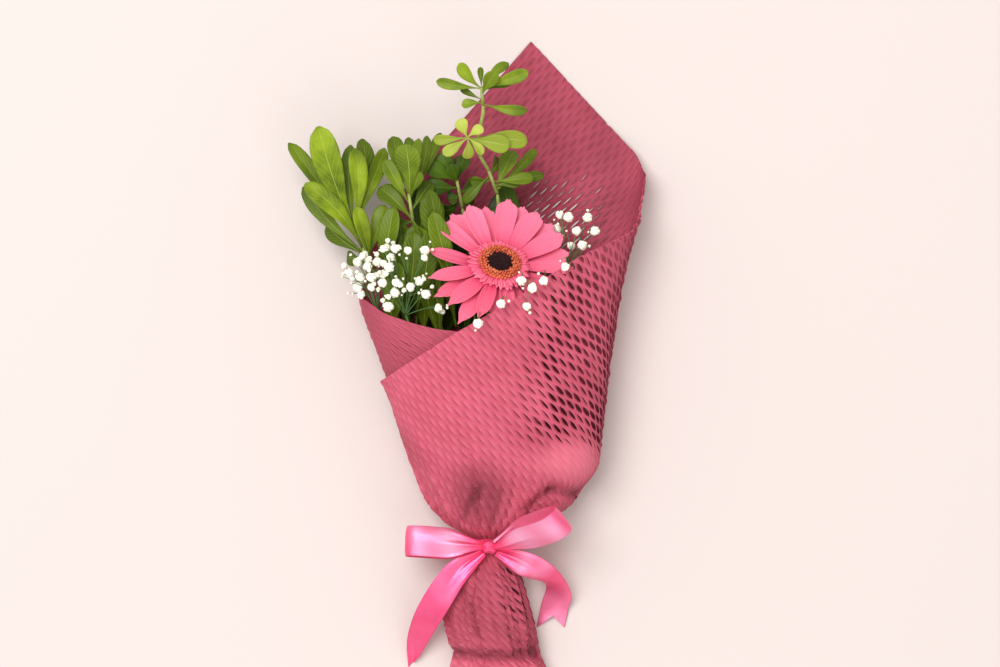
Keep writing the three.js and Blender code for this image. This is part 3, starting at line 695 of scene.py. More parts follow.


# The flat sheet before it is rolled: X runs round the roll and Y along it. Each point carries its
# seat on the roll, the way out from it, how open the slits are there, its painted shade and light, and how
# crisp the relief is.
def flatSheet():
    peakX, peakAlong = max(roll["backEdge"], key=lambda corner: corner[1])
    peakTurn = min(np.arange(-160, -20, 0.1), key=lambda t: abs(rollPoint(t, peakAlong, 0)[0] - peakX))
    turns = np.union1d(np.arange(roll["start"], roll["end"] + 0.01, roll["turnStep"]), [peakTurn])
    keys = np.arange(roll["bottom"], roll["keyEnd"], roll["keyStep"])
    middle = int(np.argmin(abs(turns - 80)))
    unrolled = []
    for along in keys:
        ring = np.array([rollPoint(t, along, 0) for t in turns])
        arcs = np.concatenate([[0], np.cumsum(np.linalg.norm(np.diff(ring, axis=0), axis=1))])
        once = np.interp(roll["start"] + 360, turns, arcs) - np.interp(roll["start"], turns, arcs)
        unrolled.append((arcs[middle] - arcs) * max(1, roll["leastRound"] / once))
    unrolled = np.array(unrolled)
    padded = np.pad(unrolled, ((2, 2), (0, 0)), mode="edge")
    unrolled = sum(padded[k:k + len(keys)] for k in range(5)) / 5
    columns = roll["columns"]
    points, seats, opens, shades, pressed = [], [], [], [], []
    for number, turn in enumerate(turns):
        top = topAt(turn)
        for j in range(columns + 1):
            along = mix(roll["bottom"], top, j / columns)
            x, _, z = rollPoint(turn, along, 0)
            edge = smooth(16, 0, top - along) * (turn > 0)
            out = layerAt(turn) - 0.5 + creaseAt(turn, along, x, z) + creases["edgeLift"] * edge
            seat = rollPoint(turn, along, out)
            seat[2] = max(seat[2], 1.2 - layerAt(turn) * 0.3)
            points.append(Vector((float(np.interp(along, keys, unrolled[:, number])), along, 0)) * mm)
            seats.append(fromTie(*seat))
            opens.append(opennessAt(turn, along, x))
            tucked = turn < -180
            outer = turn > 0 and math.sin(rad(turn)) > 0
            inner = -180 < turn < 0
            spot = noise.noise(Vector((x, along, z)) * 0.03)
            # Painted shade: the tucked layer under the flap and the inside of the roll are darker, in random
            # patches.
            dark = 0.3 * tucked + (0.42 + 0.3 * spot) * inner
            # On the outer face: painted shadow of the stems behind the paper, painted shade in the folds and
            # towards the right edge where the roll turns from the light, a painted highlight on the lit
            # bulge, darker below the tie, lighter at the bottom lip, and a little random tone.
            if outer:
                dark += creases["shade"] * patchAt(creases["shadedPatch"], x, along) + foldAt(x, along, 1)
                dark += 0.4 * smooth(38, 4, turn) - 0.55 * patchAt(creases["litPatch"], x, along)
                dark += 0.3 * smooth(-4, -20, along) - 0.5 * smooth(-80, -86, along) + 0.14 * spot
            shades.append(dark)
            flatness = 0.95 * patchAt(creases["smoothPatch"], x, along) * outer
            flatness += 0.85 * tucked + 0.25 * inner
            flatness += (0.3 + 0.4 * smooth(6, -14, x)) * smooth(-4, -30, along)
            flatness += (0.2 + 0.3 * spot) * outer
            pressed.append(1 - min(flatness, 0.95))
    wide = columns + 1
    faces = []
    for i in range(len(turns) - 1):
        for j in range(columns):
            a = i * wide + j
            faces.append((a, a + 1, a + wide + 1, a + wide))
    grid = np.array([tuple(s) for s in seats]).reshape(len(turns), wide, 3)
    out = np.cross(np.gradient(grid, axis=1), np.gradient(grid, axis=0))
    out /= np.maximum(np.linalg.norm(out, axis=2, keepdims=True), 1e-12)
    mesh = meshOf("flatSheet", points, faces)
    mesh.attributes.new("seat", "FLOAT_VECTOR", "POINT").data.foreach_set("vector", grid.ravel())
    mesh.attributes.new("outward", "FLOAT_VECTOR", "POINT").data.foreach_set("vector", out.ravel())
    for name, values in (("openness", opens), ("shade", shades), ("crisp", pressed)):
        mesh.attributes.new(name, "FLOAT", "POINT").data.foreach_set("value", values)
    return mesh


# One cell of the lattice: a brick with a lens-shaped slit through it. "slit" leads each
# inner corner to the closed slit and "ridge" says which lip of the slit it is on; the paper is
# painted lighter on the upper lip as highlight and darker on the lower one as shade.
def slitCell():
    half, row = slits["pitch"] / 2, slits["rows"]
    upper = [(1, 1 / 3, 0.1), (0.5, 1 / 2, 0.8), (0, 2 / 3, 1), (-0.5, 1 / 2, 0.8), (-1, 1 / 3, 0.1)]
    corners = upper + [(-x, -y, -lip) for x, y, lip in upper]
    outer = [(x * half, y * row) for x, y, _ in corners]
    wide, high = half * slits["holeLong"], row * slits["holeHigh"] * 2 / 3
    inner = [(x * wide, lip * high) for x, _, lip in corners]
    points = [Vector((x, y, 0)) * mm for x, y in outer + inner]
    count = len(corners)
    faces = [(k, (k + 1) % count, count + (k + 1) % count, count + k) for k in range(count)]
    piece = seedObject("slitCell", points, faces)
    shift = [0.0] * (3 * count)
    for _, y in inner:
        shift += [0.0, -y * mm * (1 - slits["closedHole"]), 0.0]
    lips = [0.0] * count + [lip for _, _, lip in corners]
    piece.data.attributes.new("slit", "FLOAT_VECTOR", "POINT").data.foreach_set("vector", shift)
    piece.data.attributes.new("ridge", "FLOAT", "POINT").data.foreach_set("value", lips)
    return piece


def latticeTree():
    tree = bpy.data.node_groups.new("honeycombCut", "GeometryNodeTree")
    tree.interface.new_socket(name="Geometry", in_out="OUTPUT", socket_type="NodeSocketGeometry")
    treeInput(tree, "Geometry", "Geometry")
    treeInput(tree, "Cell", "Object")
    for name in ("Pitch", "Rows", "Turn", "Relief", "Uneven", "Wide", "High", "Middle X", "Middle Y"):
        treeInput(tree, name, "Float")
    treeInput(tree, "Seed", "Int")
    treeInput(tree, "Material", "Material")
    start = put(tree, "NodeGroupInput").outputs
    sheet = start["Geometry"]
    countX = calc(tree, "CEIL", calc(tree, "DIVIDE", start["Wide"], start["Pitch"]))
    countY = calc(tree, "CEIL", calc(tree, "DIVIDE", start["High"], start["Rows"]))
    grid = put(tree, "GeometryNodeMeshGrid", {
        "Size X": times(tree, minus(tree, countX, 1.0), start["Pitch"]),
        "Size Y": times(tree, minus(tree, countY, 1.0), start["Rows"]),
        "Vertices X": countX, "Vertices Y": countY})
    row = calc(tree, "FLOORED_MODULO", put(tree, "GeometryNodeInputIndex").outputs[0], countY)
    odd = calc(tree, "FLOORED_MODULO", row, 2.0)
    stagger = vectorOf(tree, times(tree, times(tree, odd, 0.5), start["Pitch"]))
    staggered = put(tree, "GeometryNodeSetPosition", {"Geometry": grid.outputs["Mesh"], "Offset": stagger})
    spin = vectorOf(tree, z=start["Turn"])
    turned = put(tree, "FunctionNodeEulerToRotation", {0: spin}).outputs[0]
    middle = vectorOf(tree, start["Middle X"], start["Middle Y"])
    placed = put(tree, "GeometryNodeTransform", {
        "Geometry": staggered.outputs[0], "Translation": middle, "Rotation": turned})
    near = put(tree, "GeometryNodeProximity", {"Geometry": sheet}, target_element="FACES")
    outside = calc(tree, "GREATER_THAN", near.outputs["Distance"], times(tree, start["Pitch"], 0.42))
    inside = put(tree, "GeometryNodeDeleteGeometry", {
        "Geometry": placed.outputs[0], "Selection": outside}, domain="POINT")
    cell = put(tree, "GeometryNodeObjectInfo", {"Object": start["Cell"]})
    chance = put(tree, "FunctionNodeRandomValue", {"Seed": start["Seed"]}, data_type="FLOAT").outputs[1]
    chosen = put(tree, "GeometryNodeStoreNamedAttribute", {
        "Geometry": inside.outputs[0], "Name": "chance", "Value": chance})
    cells = put(tree, "GeometryNodeInstanceOnPoints", {
        "Points": chosen.outputs[0], "Instance": cell.outputs["Geometry"], "Rotation": turned})
    real = put(tree, "GeometryNodeRealizeInstances", {0: cells.outputs[0]})
    whole = put(tree, "GeometryNodeMergeByDistance", {"Geometry": real.outputs[0], "Distance": 0.0002})

    def named(name, kind):
        return put(tree, "GeometryNodeInputNamedAttribute", {"Name": name}, data_type=kind).outputs[0]

    def onSheet(name, kind):
        feeds = {"Mesh": sheet, "Value": named(name, kind)}
        return put(tree, "GeometryNodeSampleNearestSurface", feeds, data_type=kind).outputs[0]

    uneven = plus(tree, times(tree, minus(tree, named("chance", "FLOAT"), 0.5), start["Uneven"]), 1.0)
    shut = calc(tree, "MAXIMUM", minus(tree, 1.0, times(tree, onSheet("openness", "FLOAT"), uneven)), 0.0)
    slit = put(tree, "FunctionNodeRotateVector", {0: named("slit", "FLOAT_VECTOR"), 1: turned}).outputs[0]
    closing = scaledBy(tree, slit, shut)
    opened = put(tree, "GeometryNodeSetPosition", {"Geometry": whole.outputs[0], "Offset": closing})
    lift = times(tree, named("ridge", "FLOAT"), start["Relief"])
    much = calc(tree, "MULTIPLY_ADD", onSheet("openness", "FLOAT"), 0.5, 0.5)
    much = times(tree, times(tree, much, uneven), onSheet("crisp", "FLOAT"))
    offset = scaledBy(tree, onSheet("outward", "FLOAT_VECTOR"), times(tree, lift, much))
    sums = {0: onSheet("seat", "FLOAT_VECTOR"), 1: offset}
    seat = put(tree, "ShaderNodeVectorMath", sums, operation="ADD").outputs[0]
    shaded = put(tree, "GeometryNodeStoreNamedAttribute", {
        "Geometry": opened.outputs[0], "Name": "shade", "Value": onSheet("shade", "FLOAT")})
    rolled = put(tree, "GeometryNodeSetPosition", {"Geometry": shaded.outputs[0], "Position": seat})
    tiny = calc(tree, "LESS_THAN", put(tree, "GeometryNodeInputMeshFaceArea").outputs[0], 2e-9)
    clean = put(tree, "GeometryNodeDeleteGeometry", {
        "Geometry": rolled.outputs[0], "Selection": tiny}, domain="FACE")
    merged = put(tree, "GeometryNodeMergeByDistance", {"Geometry": clean.outputs[0], "Distance": 0.00004})
    final = put(tree, "GeometryNodeSetMaterial", {
        "Geometry": merged.outputs[0], "Material": start["Material"]})
    put(tree, "NodeGroupOutput", {0: final.outputs[0]})
    return tree


def makePaper():
    sheet = newPiece("honeycomb_paper", flatSheet())
    flat = np.array([tuple(v.co) for v in sheet.data.vertices])
    low, high = flat.min(axis=0), flat.max(axis=0)
    reach = float(np.hypot(*(high - low)[:2])) * 1.02
    cell = slitCell()
    grow(sheet, latticeTree(), {
        "Cell": cell, "Pitch": slits["pitch"] * mm, "Rows": slits["rows"] * mm, "Turn": rad(slits["turn"]),
        "Relief": slits["relief"] * mm, "Uneven": slits["uneven"], "Seed": 4, "Wide": reach, "High": reach,
        "Middle X": float(low[0] + high[0]) / 2, "Middle Y": float(low[1] + high[1]) / 2,
        "Material": finishes["paper"],
    })
    solid = sheet.modifiers.new("thickness", "SOLIDIFY")
    solid.thickness = roll["thickness"] * mm
    solid.offset = 0
    mesh = settle(sheet)
    mesh.polygons.foreach_set("use_smooth", [False] * len(mesh.polygons))
    discard(cell)
    finishPiece(sheet, "honeycomb_paper", "paper_wrap")


ribbon = dict(
    width=22, thickness=0.35, columns=17, bandWidth=10,
    leftLoop=dict(heading=176, rise=4, roll=9, openness=9, reach=27.5),
    rightLoop=dict(heading=22, rise=31, roll=30, openness=9.5, reach=30),
)


# Rows of points across a ribbon from its centre line, the way across it and its half width. The
# gathers are folds along its length, in millimetres high.
def ribbonRows(centres, acrosses, halves, gathers, notch=0.0, slant=0.0, crown=0.5):
    rows = []
    count = len(centres)
    for i in range(count):
        ahead = (centres[min(i + 1, count - 1)] - centres[max(i - 1, 0)]).normalized()
        across = acrosses[i].normalized()
        normal = ahead.cross(across).normalized()
        row = []
        for j in range(ribbon["columns"]):
            u = 2 * j / (ribbon["columns"] - 1) - 1
            fold = gathers[i] * mm * (math.sin(u * 7.2 + 0.7) + 0.4 * math.sin(u * 14 + i * 0.05))
            fold += crown * mm * (1 - u * u) * (1 + 0.5 * math.sin(9 * i / (count - 1) + 1.5 * u))
            cut = smooth(0.86, 1, i / (count - 1))
            along = (abs(u) - 1) * notch * cut + (u - 1) * slant * cut
            point = centres[i] + across * (u * halves[i] * mm) + normal * fold + ahead * along * mm
            row.append(point)
        rows.append(row)
    return rows


def lengthOf(points):
    return sum((b - a).length for a, b in zip(points, points[1:]))


def ribbonPiece(name, rows, node, length, tone):
    build = Build()
    build.sheet(rows, ribbon["thickness"] * mm, tone)
    piece = newPiece(name, build.mesh(name), finishes["satin"])
    soften(piece)
    finishPiece(piece, "satin_ribbon", node)
    print(name, "length", round(length, 3))


def loopRows(heading, rise, roll, openness, reach):
    level = math.cos(rad(rise))
    outward = Vector((math.cos(rad(heading)) * level, math.sin(rad(heading)) * level, math.sin(rad(rise))))
    across = Matrix.Rotation(rad(roll), 3, outward) @ Vector((0, 0, 1)).cross(outward).normalized()
    over = outward.cross(across)
    start = knotMiddle + outward * 5.2 * mm
    centres, acrosses, halves, gathers = [], [], [], []
    steps = 60
    for i in range(steps + 1):
        turn = rad(6) + (2 * math.pi - 2 * rad(6)) * i / steps
        share = (1 - math.cos(turn)) / 2
        bow = openness * math.sin(turn) * (0.35 + 0.65 * share) + 0.9 * math.sin(3.2 * turn)
        centres.append(start + (outward * reach * 2 * share + over * bow) * mm)
        acrosses.append(across)
        halves.append(ribbon["width"] / 2 * (0.3 + 0.7 * smooth(0, 0.5, share)))
        gathers.append(1.15 * (1 - smooth(0.02, 0.72, share)))
    return ribbonRows(centres, acrosses, halves, gathers, crown=1.8), lengthOf(centres)


def tailRows(places, notch=0.0, slant=0.0, steps=70):
    centres = curveThrough([fromTie(x, y, z) for x, y, z, _, _ in places], steps)
    turns = curveThrough([Vector((turn, half, 0)) for _, _, _, turn, half in places], steps)
    acrosses = [Vector((math.cos(rad(t.x)), math.sin(rad(t.x)), 0)) for t in turns]
    halves = [t.y * ribbon["width"] for t in turns]
    gathers = [1.0 * (1 - smooth(0.0, 0.42, i / steps)) for i in range(steps + 1)]
    return ribbonRows(centres, acrosses, halves, gathers, notch, slant, 1.6), lengthOf(centres)


def makeRibbon():
    # The last number for each loop is how strongly its painted sheen shows.
    for side, node, tone in (("leftLoop", "ribbon_loop_left", 0.66),
                             ("rightLoop", "ribbon_loop_right", 0.95)):
        rows, length = loopRows(**ribbon[side])
        ribbonPiece("satin_" + node, rows, node, length, tone)
    top = knotMiddle.z / mm
    left = [(-5, -4, top - 1, 135, 0.14), (-24, -19, top + 1, 125, 0.42), (-42, -46, top - 6, 148, 0.46),
            (-53, -70, 14, 160, 0.34), (-58, -91, 0.9, 168, 0.08)]
    right = [(5, -4, top - 1, 58, 0.14), (22, -11, top + 1, 56, 0.4), (37, -19, top - 3, 24, 0.46),
             (49.5, -32, 15, -19, 0.45), (47, -46, 4.5, -6, 0.46), (44, -61.5, 0.9, 0, 0.47)]
    # The last number for each tail is how strongly its painted sheen shows; the band has none.
    rows, length = tailRows(left, slant=3)
    ribbonPiece("satin_ribbon_tail_left", rows, "ribbon_tail_left", length, 0.12)
    rows, length = tailRows(right, notch=10)
    ribbonPiece("satin_ribbon_tail_right", rows, "ribbon_tail_right", length, 0.5)
    rows = []
    for i in range(73):
        turn = 5 * i
        row = []
        for j in range(33):
            u = 2 * j / 32 - 1
            out = roll["layer"] + 1.0 + 0.75 * math.sin(u * 13 + 0.4 * math.sin(rad(turn * 3)))
            row.append(fromTie(*rollPoint(turn, u * ribbon["bandWidth"] / 2, out)))
        rows.append(row)
    length = lengthOf([row[16] for row in rows])
    ribbonPiece("satin_ribbon_band", rows, "ribbon_band", length, 0.0)
    makeKnot()


def makeKnot():
    half = (knotHigh - knotLow) / 2
    rows, columns = 26, 44
    points = [knotMiddle - Vector((0, 0, half.z))]
    for i in range(1, rows):
        tilt = math.pi * i / rows
        for j in range(columns):
            turn = 2 * math.pi * j / columns
            fold = 1 - 0.10 * abs(math.sin(2.5 * turn + 1.4 * math.cos(tilt)))
            fold -= 0.05 * abs(math.sin(7 * tilt + turn))
            way = Vector((math.sin(tilt) * math.cos(turn), math.sin(tilt) * math.sin(turn), -math.cos(tilt)))
            pinch = 1 - 0.16 * math.exp(-(way.x / 0.25) ** 2) * abs(way.y)
            reach = Vector((way.x * half.x, way.y * half.y * pinch, way.z * half.z))
            points.append(knotMiddle + reach * fold)
    points.append(knotMiddle + Vector((0, 0, half.z)))
    faces = []
    last = len(points) - 1
    for j in range(columns):
        n = (j + 1) % columns
        faces.append((0, 1 + n, 1 + j))
        for i in range(rows - 2):
            a, b = 1 + i * columns + j, 1 + i * columns + n
            faces.append((a, b, b + columns, a + columns))
        top = 1 + (rows - 2) * columns
        faces.append((top + j, top + n, last))
    uvs = [((p - knotMiddle).x * 40 + 0.5, (p - knotMiddle).y * 2) for p in points]
    mesh = meshOf("satin_knot", points, faces, uvs)
    mesh.polygons.foreach_set("use_smooth", [True] * len(faces))
    finishPiece(newPiece("satin_knot", mesh, finishes["satin"]), "satin_ribbon", "ribbon_knot")


flower = dict(
    middle=(6, 200, 75.5), tilt=40, turn=10, start=11.8, gap=3.4, lift=3, sway=9, droop=20, thickness=0.5,
    # which way a petal points, how far its tip reaches, how wide it is and how much painted shade deepens its
    # colour
    petals=[
        (5, 55.5, 13, 0.15), (20, 55.5, 16, 0.0), (34, 57, 16.5, 0.1), (47.5, 58, 16.5, 0.0),
        (60, 57, 17, 0.1), (72, 58.5, 16.5, 0.0), (85, 58.5, 16, 0.05), (101, 54, 12, 0.1),
        (117, 53.5, 15.5, 0.0), (131, 56, 16, 0.05), (146, 55, 15.5, 0.1), (172, 55, 13, 0.4),
        (202, 56, 13, 0.35), (216, 58, 13.5, 0.5), (229, 55, 13.5, 0.6), (243, 61, 13.5, 0.4),
        (255, 53, 12, 0.75), (268, 43, 12, 0.65), (286, 38, 12, 0.75), (305, 41, 12, 0.6),
        (326, 47, 12, 0.5), (347, 52, 12.5, 0.3),
    ],
    # how wide a petal is along its length: the blunt ones, then the pointed ones
    outline=[(0, 0.4), (0.12, 0.5), (0.28, 0.7), (0.45, 0.88), (0.62, 0.98), (0.78, 1.0), (0.88, 0.93),
             (0.95, 0.78), (1, 0.5)],
    pointed=[(0, 0.42), (0.15, 0.62), (0.35, 0.92), (0.52, 1.0), (0.7, 0.9), (0.84, 0.64), (0.94, 0.36),
             (1, 0.14)],
)
flowerPlace = Matrix.Translation(fromTie(*flower["middle"])) @ Matrix.Rotation(rad(-flower["tilt"]), 4, "X")
flowerPlace = flowerPlace @ Matrix.Rotation(rad(flower["turn"]), 4, "Y")


def petalRows(number, turn, reach, wide, paintedShade):
    draw = random.Random(300 + number)
    front = number % 2 == 0
    length = reach - flower["start"]
    outline = flower["pointed" if paintedShade >= 0.3 and number > 10 else "outline"]
    fromRight = turn - 360
    tucked = smooth(-100, -84, fromRight) * (1 - smooth(-50, -5, fromRight))
    rise = math.tan(rad(flower["lift"] + flower["sway"] * math.sin(rad(turn)) - flower["droop"] * tucked))
    twist = draw.uniform(-0.12, 0.12)
    bend = draw.uniform(-1.2, 1.6)
    sway = draw.uniform(-1.2, 1.2)
    outward = Vector((math.cos(rad(turn)), math.sin(rad(turn)), 0))
    sideways = Vector((-outward.y, outward.x, 0))
    rows = []
    for i in range(19):
        share = i / 18
        half = wide / 2 * valueThrough(outline, share)
        row = []
        for j in range(11):
            u = 2 * j / 10 - 1
            tip = share ** 6 * (0.12 * u * u + 0.034 * (1 + math.cos(u * 11 + number * 2.1)))
            reachHere = flower["start"] + length * share * (1 - tip)
            height = flower["gap"] / 2 * (1 if front else -1)
            height += rise * max(0, reachHere - flower["start"] - 4)
            height += half * (0.16 * u * u + twist * u * share) + bend * share ** 3
            height += 0.22 * math.cos(u * 7.5) * math.sin(math.pi * share) ** 0.5
            side = u * half + sway * share * share
            point = outward * reachHere + sideways * side + Vector((0, 0, height))
            row.append(flowerPlace @ (point * mm))
        rows.append(row)
    return rows


def makePetals():
    for number, (turn, reach, wide, tone) in enumerate(flower["petals"]):
        build = Build()
        build.sheet(petalRows(number, turn, reach, wide, tone), flower["thickness"] * mm, tone)
        node = f"gerbera_petal_{number + 1:02d}"
        piece = newPiece(node.replace("gerbera_", "flower_"), build.mesh(node), finishes["petal"])
        soften(piece)
        finishPiece(piece, "petal", node)
    print("petals", len(flower["petals"]))


def packedTree():
    tree = bpy.data.node_groups.new("packedFlorets", "GeometryNodeTree")
    tree.interface.new_socket(name="Geometry", in_out="OUTPUT", socket_type="NodeSocketGeometry")
    treeInput(tree, "Geometry", "Geometry")
    treeInput(tree, "Floret", "Object")
    treeInput(tree, "Count", "Int")
    for name in ("Inner Radius", "Outer Radius", "Height", "Dome", "Size", "Lean In", "Lean Out",
                 "Lean Spread"):
        treeInput(tree, name, "Float")
    treeInput(tree, "Seed", "Int")
    treeInput(tree, "Material", "Material")
    start = put(tree, "NodeGroupInput").outputs
    line = put(tree, "GeometryNodeMeshLine", {"Count": start["Count"]})
    index = put(tree, "GeometryNodeInputIndex").outputs[0]
    share = calc(tree, "DIVIDE", plus(tree, index, 0.5), start["Count"])
    near, far = start["Inner Radius"], start["Outer Radius"]
    inner, outer = times(tree, near, near), times(tree, far, far)
    radius = calc(tree, "SQRT", plus(tree, times(tree, share, minus(tree, outer, inner)), inner))
    turn = times(tree, index, rad(137.508))
    out = calc(tree, "DIVIDE", minus(tree, radius, near), minus(tree, far, near))
    arch = times(tree, times(tree, out, minus(tree, 1.0, out)), 4.0)
    height = calc(tree, "MULTIPLY_ADD", arch, start["Dome"], start["Height"])
    x, y = (times(tree, radius, calc(tree, way, turn)) for way in ("COSINE", "SINE"))
    place = vectorOf(tree, x, y, height)
    placed = put(tree, "GeometryNodeSetPosition", {"Geometry": line.outputs[0], "Position": place})

    def anyOf(low, high, more):
        made = put(tree, "FunctionNodeRandomValue", {2: low, 3: high}, data_type="FLOAT")
        tree.links.new(plus(tree, start["Seed"], float(more)), made.inputs["Seed"])
        return made.outputs[1]

    toned = put(tree, "GeometryNodeStoreNamedAttribute", {
        "Geometry": placed.outputs[0], "Name": "tone", "Value": anyOf(0.0, 1.0, 0)})
    swing = minus(tree, start["Lean Out"], start["Lean In"])
    lean = plus(tree, times(tree, swing, out), start["Lean In"])
    leaning = plus(tree, lean, times(tree, anyOf(-1.0, 1.0, 1), start["Lean Spread"]))
    euler = vectorOf(tree, y=leaning, z=turn)
    rotation = put(tree, "FunctionNodeEulerToRotation", {0: euler}).outputs[0]
    size = times(tree, start["Size"], anyOf(0.82, 1.18, 2))
    floret = put(tree, "GeometryNodeObjectInfo", {"Object": start["Floret"]})
    many = put(tree, "GeometryNodeInstanceOnPoints", {
        "Points": toned.outputs[0], "Instance": floret.outputs["Geometry"], "Rotation": rotation,
        "Scale": vectorOf(tree, size, size, size)})
    real = put(tree, "GeometryNodeRealizeInstances", {0: many.outputs[0]})
    painted = put(tree, "GeometryNodeSetMaterial", {
        "Geometry": real.outputs[0], "Material": start["Material"]})
    both = put(tree, "GeometryNodeJoinGeometry")
    tree.links.new(painted.outputs[0], both.inputs[0])
    tree.links.new(start["Geometry"], both.inputs[0])
    put(tree, "NodeGroupOutput", {0: both.outputs[0]})
    return tree


head = dict(
    eye=dict(node="gerbera_eye", slot="flower_eye", count=210, inner=0.2, outer=10.0, height=4.8,
             dome=0.9, size=1.6, leanIn=4, leanOut=14, spread=10, seed=5),
    disc=dict(node="gerbera_disc_florets", slot="disc_florets", count=170, inner=9.4, outer=14.2, height=4.8,
              dome=1.6, size=2.5, leanIn=-10, leanOut=46, spread=16, seed=8),
    rays=dict(node="gerbera_inner_rays", slot="inner_rays", count=100, inner=13.2, outer=16.4, height=3.9,
              dome=0.2, size=7.4, leanIn=68, leanOut=86, spread=7, seed=11),
)


# A short curved ray, one unit long, standing up along Z and bending outwards.
def rayBlade():
    rows = []
    for i in range(6):
        share = i / 5
        half = 0.15 * valueThrough([(0, 0.5), (0.4, 0.9), (0.8, 1.0), (1, 0.35)], share)
        rows.append([Vector((0.30 * share * share, u * half, share * (1 - 0.1 * share))) for u in (-1, 0, 1)])
    points, faces, _ = slabOf(rows, 0.06)
    return points, faces


def makeHead():
    tree = packedTree()
    seeds = dict(
        eye=turnedOf([(0, -0.6), (0.24, -0.5), (0.36, 0.35), (0.2, 0.85), (0, 1.1)], 6),
        disc=turnedOf(
            [(0, -0.6), (0.16, -0.6), (0.18, 0.45), (0.36, 0.86), (0.2, 0.9), (0, 0.72)], 10, star=0.3),
        rays=rayBlade(),
    )
    bases = dict(
        eye=turnedOf([(0, 3.9), (9.4, 3.9), (9.4, 4.9), (5, 5.4), (0, 5.2)], 32),
        disc=turnedOf(
            [(0, 3.86), (14.2, 3.86), (14.4, 4.6), (12, 5.9), (9.9, 5.2), (9.5, 3.88), (0, 3.88)], 40),
        rays=turnedOf([(0, 3.4), (16.6, 3.4), (16.6, 4.0), (14.6, 4.3), (14.5, 3.42), (0, 3.42)], 40),
    )
    for part, setting in head.items():
        seed = seedObject(part + "Seed", *seeds[part])
        points, faces = bases[part]
        build = Build()
        build.take([p * mm for p in points], faces, tone=0.6)
        piece = newPiece("flower_" + part, build.mesh("flower_" + part), finishes[part])
        grow(piece, tree, {
            "Floret": seed, "Count": setting["count"], "Seed": setting["seed"], "Material": finishes[part],
            "Inner Radius": setting["inner"] * mm, "Outer Radius": setting["outer"] * mm,
            "Height": setting["height"] * mm, "Dome": setting["dome"] * mm, "Size": setting["size"] * mm,
            "Lean In": rad(setting["leanIn"]), "Lean Out": rad(setting["leanOut"]),
            "Lean Spread": rad(setting["spread"]),
        })
        settle(piece).transform(flowerPlace)
        discard(seed)
        finishPiece(piece, setting["slot"], setting["node"])
        print(part, len(piece.data.polygons), "faces")


# Stems, twigs, bracts and the rubber band keep the shape of their solids, with rounder skins.
rounded = dict(
    gerbera_stem=("green_stem", "stem"), gerbera_bracts=("green_stem", "stem"),
    sprig_left_twig=("twig", "twig"), sprig_middle_twig=("twig", "twig"), sprig_dark_twig=("twig", "twig"),
    sprig_tall_twig=("twig", "twig"), sprig_tall_upper_twig=("twig", "twig"),
    stem_rubber_band=("rubber_band", "rubber"),
)


def makeRounded():
    for node, (slot, finish) in rounded.items():
        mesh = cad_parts[node].data.copy()
        piece = newPiece("round_" + node, mesh)
        mesh.materials.clear()
        mesh.materials.append(finishes[finish])
        weld = piece.modifiers.new("weld", "WELD")
        weld.merge_threshold = 0.00002
        made = soften(piece)
        made.polygons.foreach_set("use_smooth", [True] * len(made.polygons))
        finishPiece(piece, slot, node)
    print("stems", len(rounded))


# A leaf's width along its length, and where its points lie across it.
leafOutline = [(0, 0.11), (0.14, 0.12), (0.28, 0.26), (0.42, 0.52), (0.56, 0.8), (0.7, 0.97), (0.8, 1.0),
               (0.89, 0.88), (0.95, 0.66), (0.985, 0.4), (1, 0.12)]
leafColumns = [-1, -0.74, -0.46, -0.2, -0.07, 0, 0.07, 0.2, 0.46, 0.74, 1]


def leafRows(start, tip, wide, draw):
    along = tip - start
    length = along.length
    level = along.cross(Vector((0, 0, 1))).normalized()
    side = Matrix.Rotation(rad(draw.uniform(-26, 26)), 3, along) @ level
    up = side.cross(along).normalized()
    keel = draw.uniform(0.12, 0.34)
    arch = draw.uniform(0.02, 0.1)
    swing = draw.uniform(-0.05, 0.05)
    rows = []
    for i in range(21):
        share = (i / 20) ** 0.9
        half = wide * mm / 2 * valueThrough(leafOutline, share)
        bow = up * (arch * length * math.sin(math.pi * share) - 0.06 * length * share ** 4)
        centre = start + along * share + bow + side * (swing * length * math.sin(math.pi * share))
        row = []
        for u in leafColumns:
            rib = 0.28 * mm * (1 - 0.6 * share) * max(0, 1 - abs(u) / 0.09)
            wave = 0.03 * half * math.sin(9 * share + 4 * u) * u * u
            row.append(centre + side * (u * half) + up * (keel * half * abs(u) + rib + wave))
        rows.append(row)
    return rows


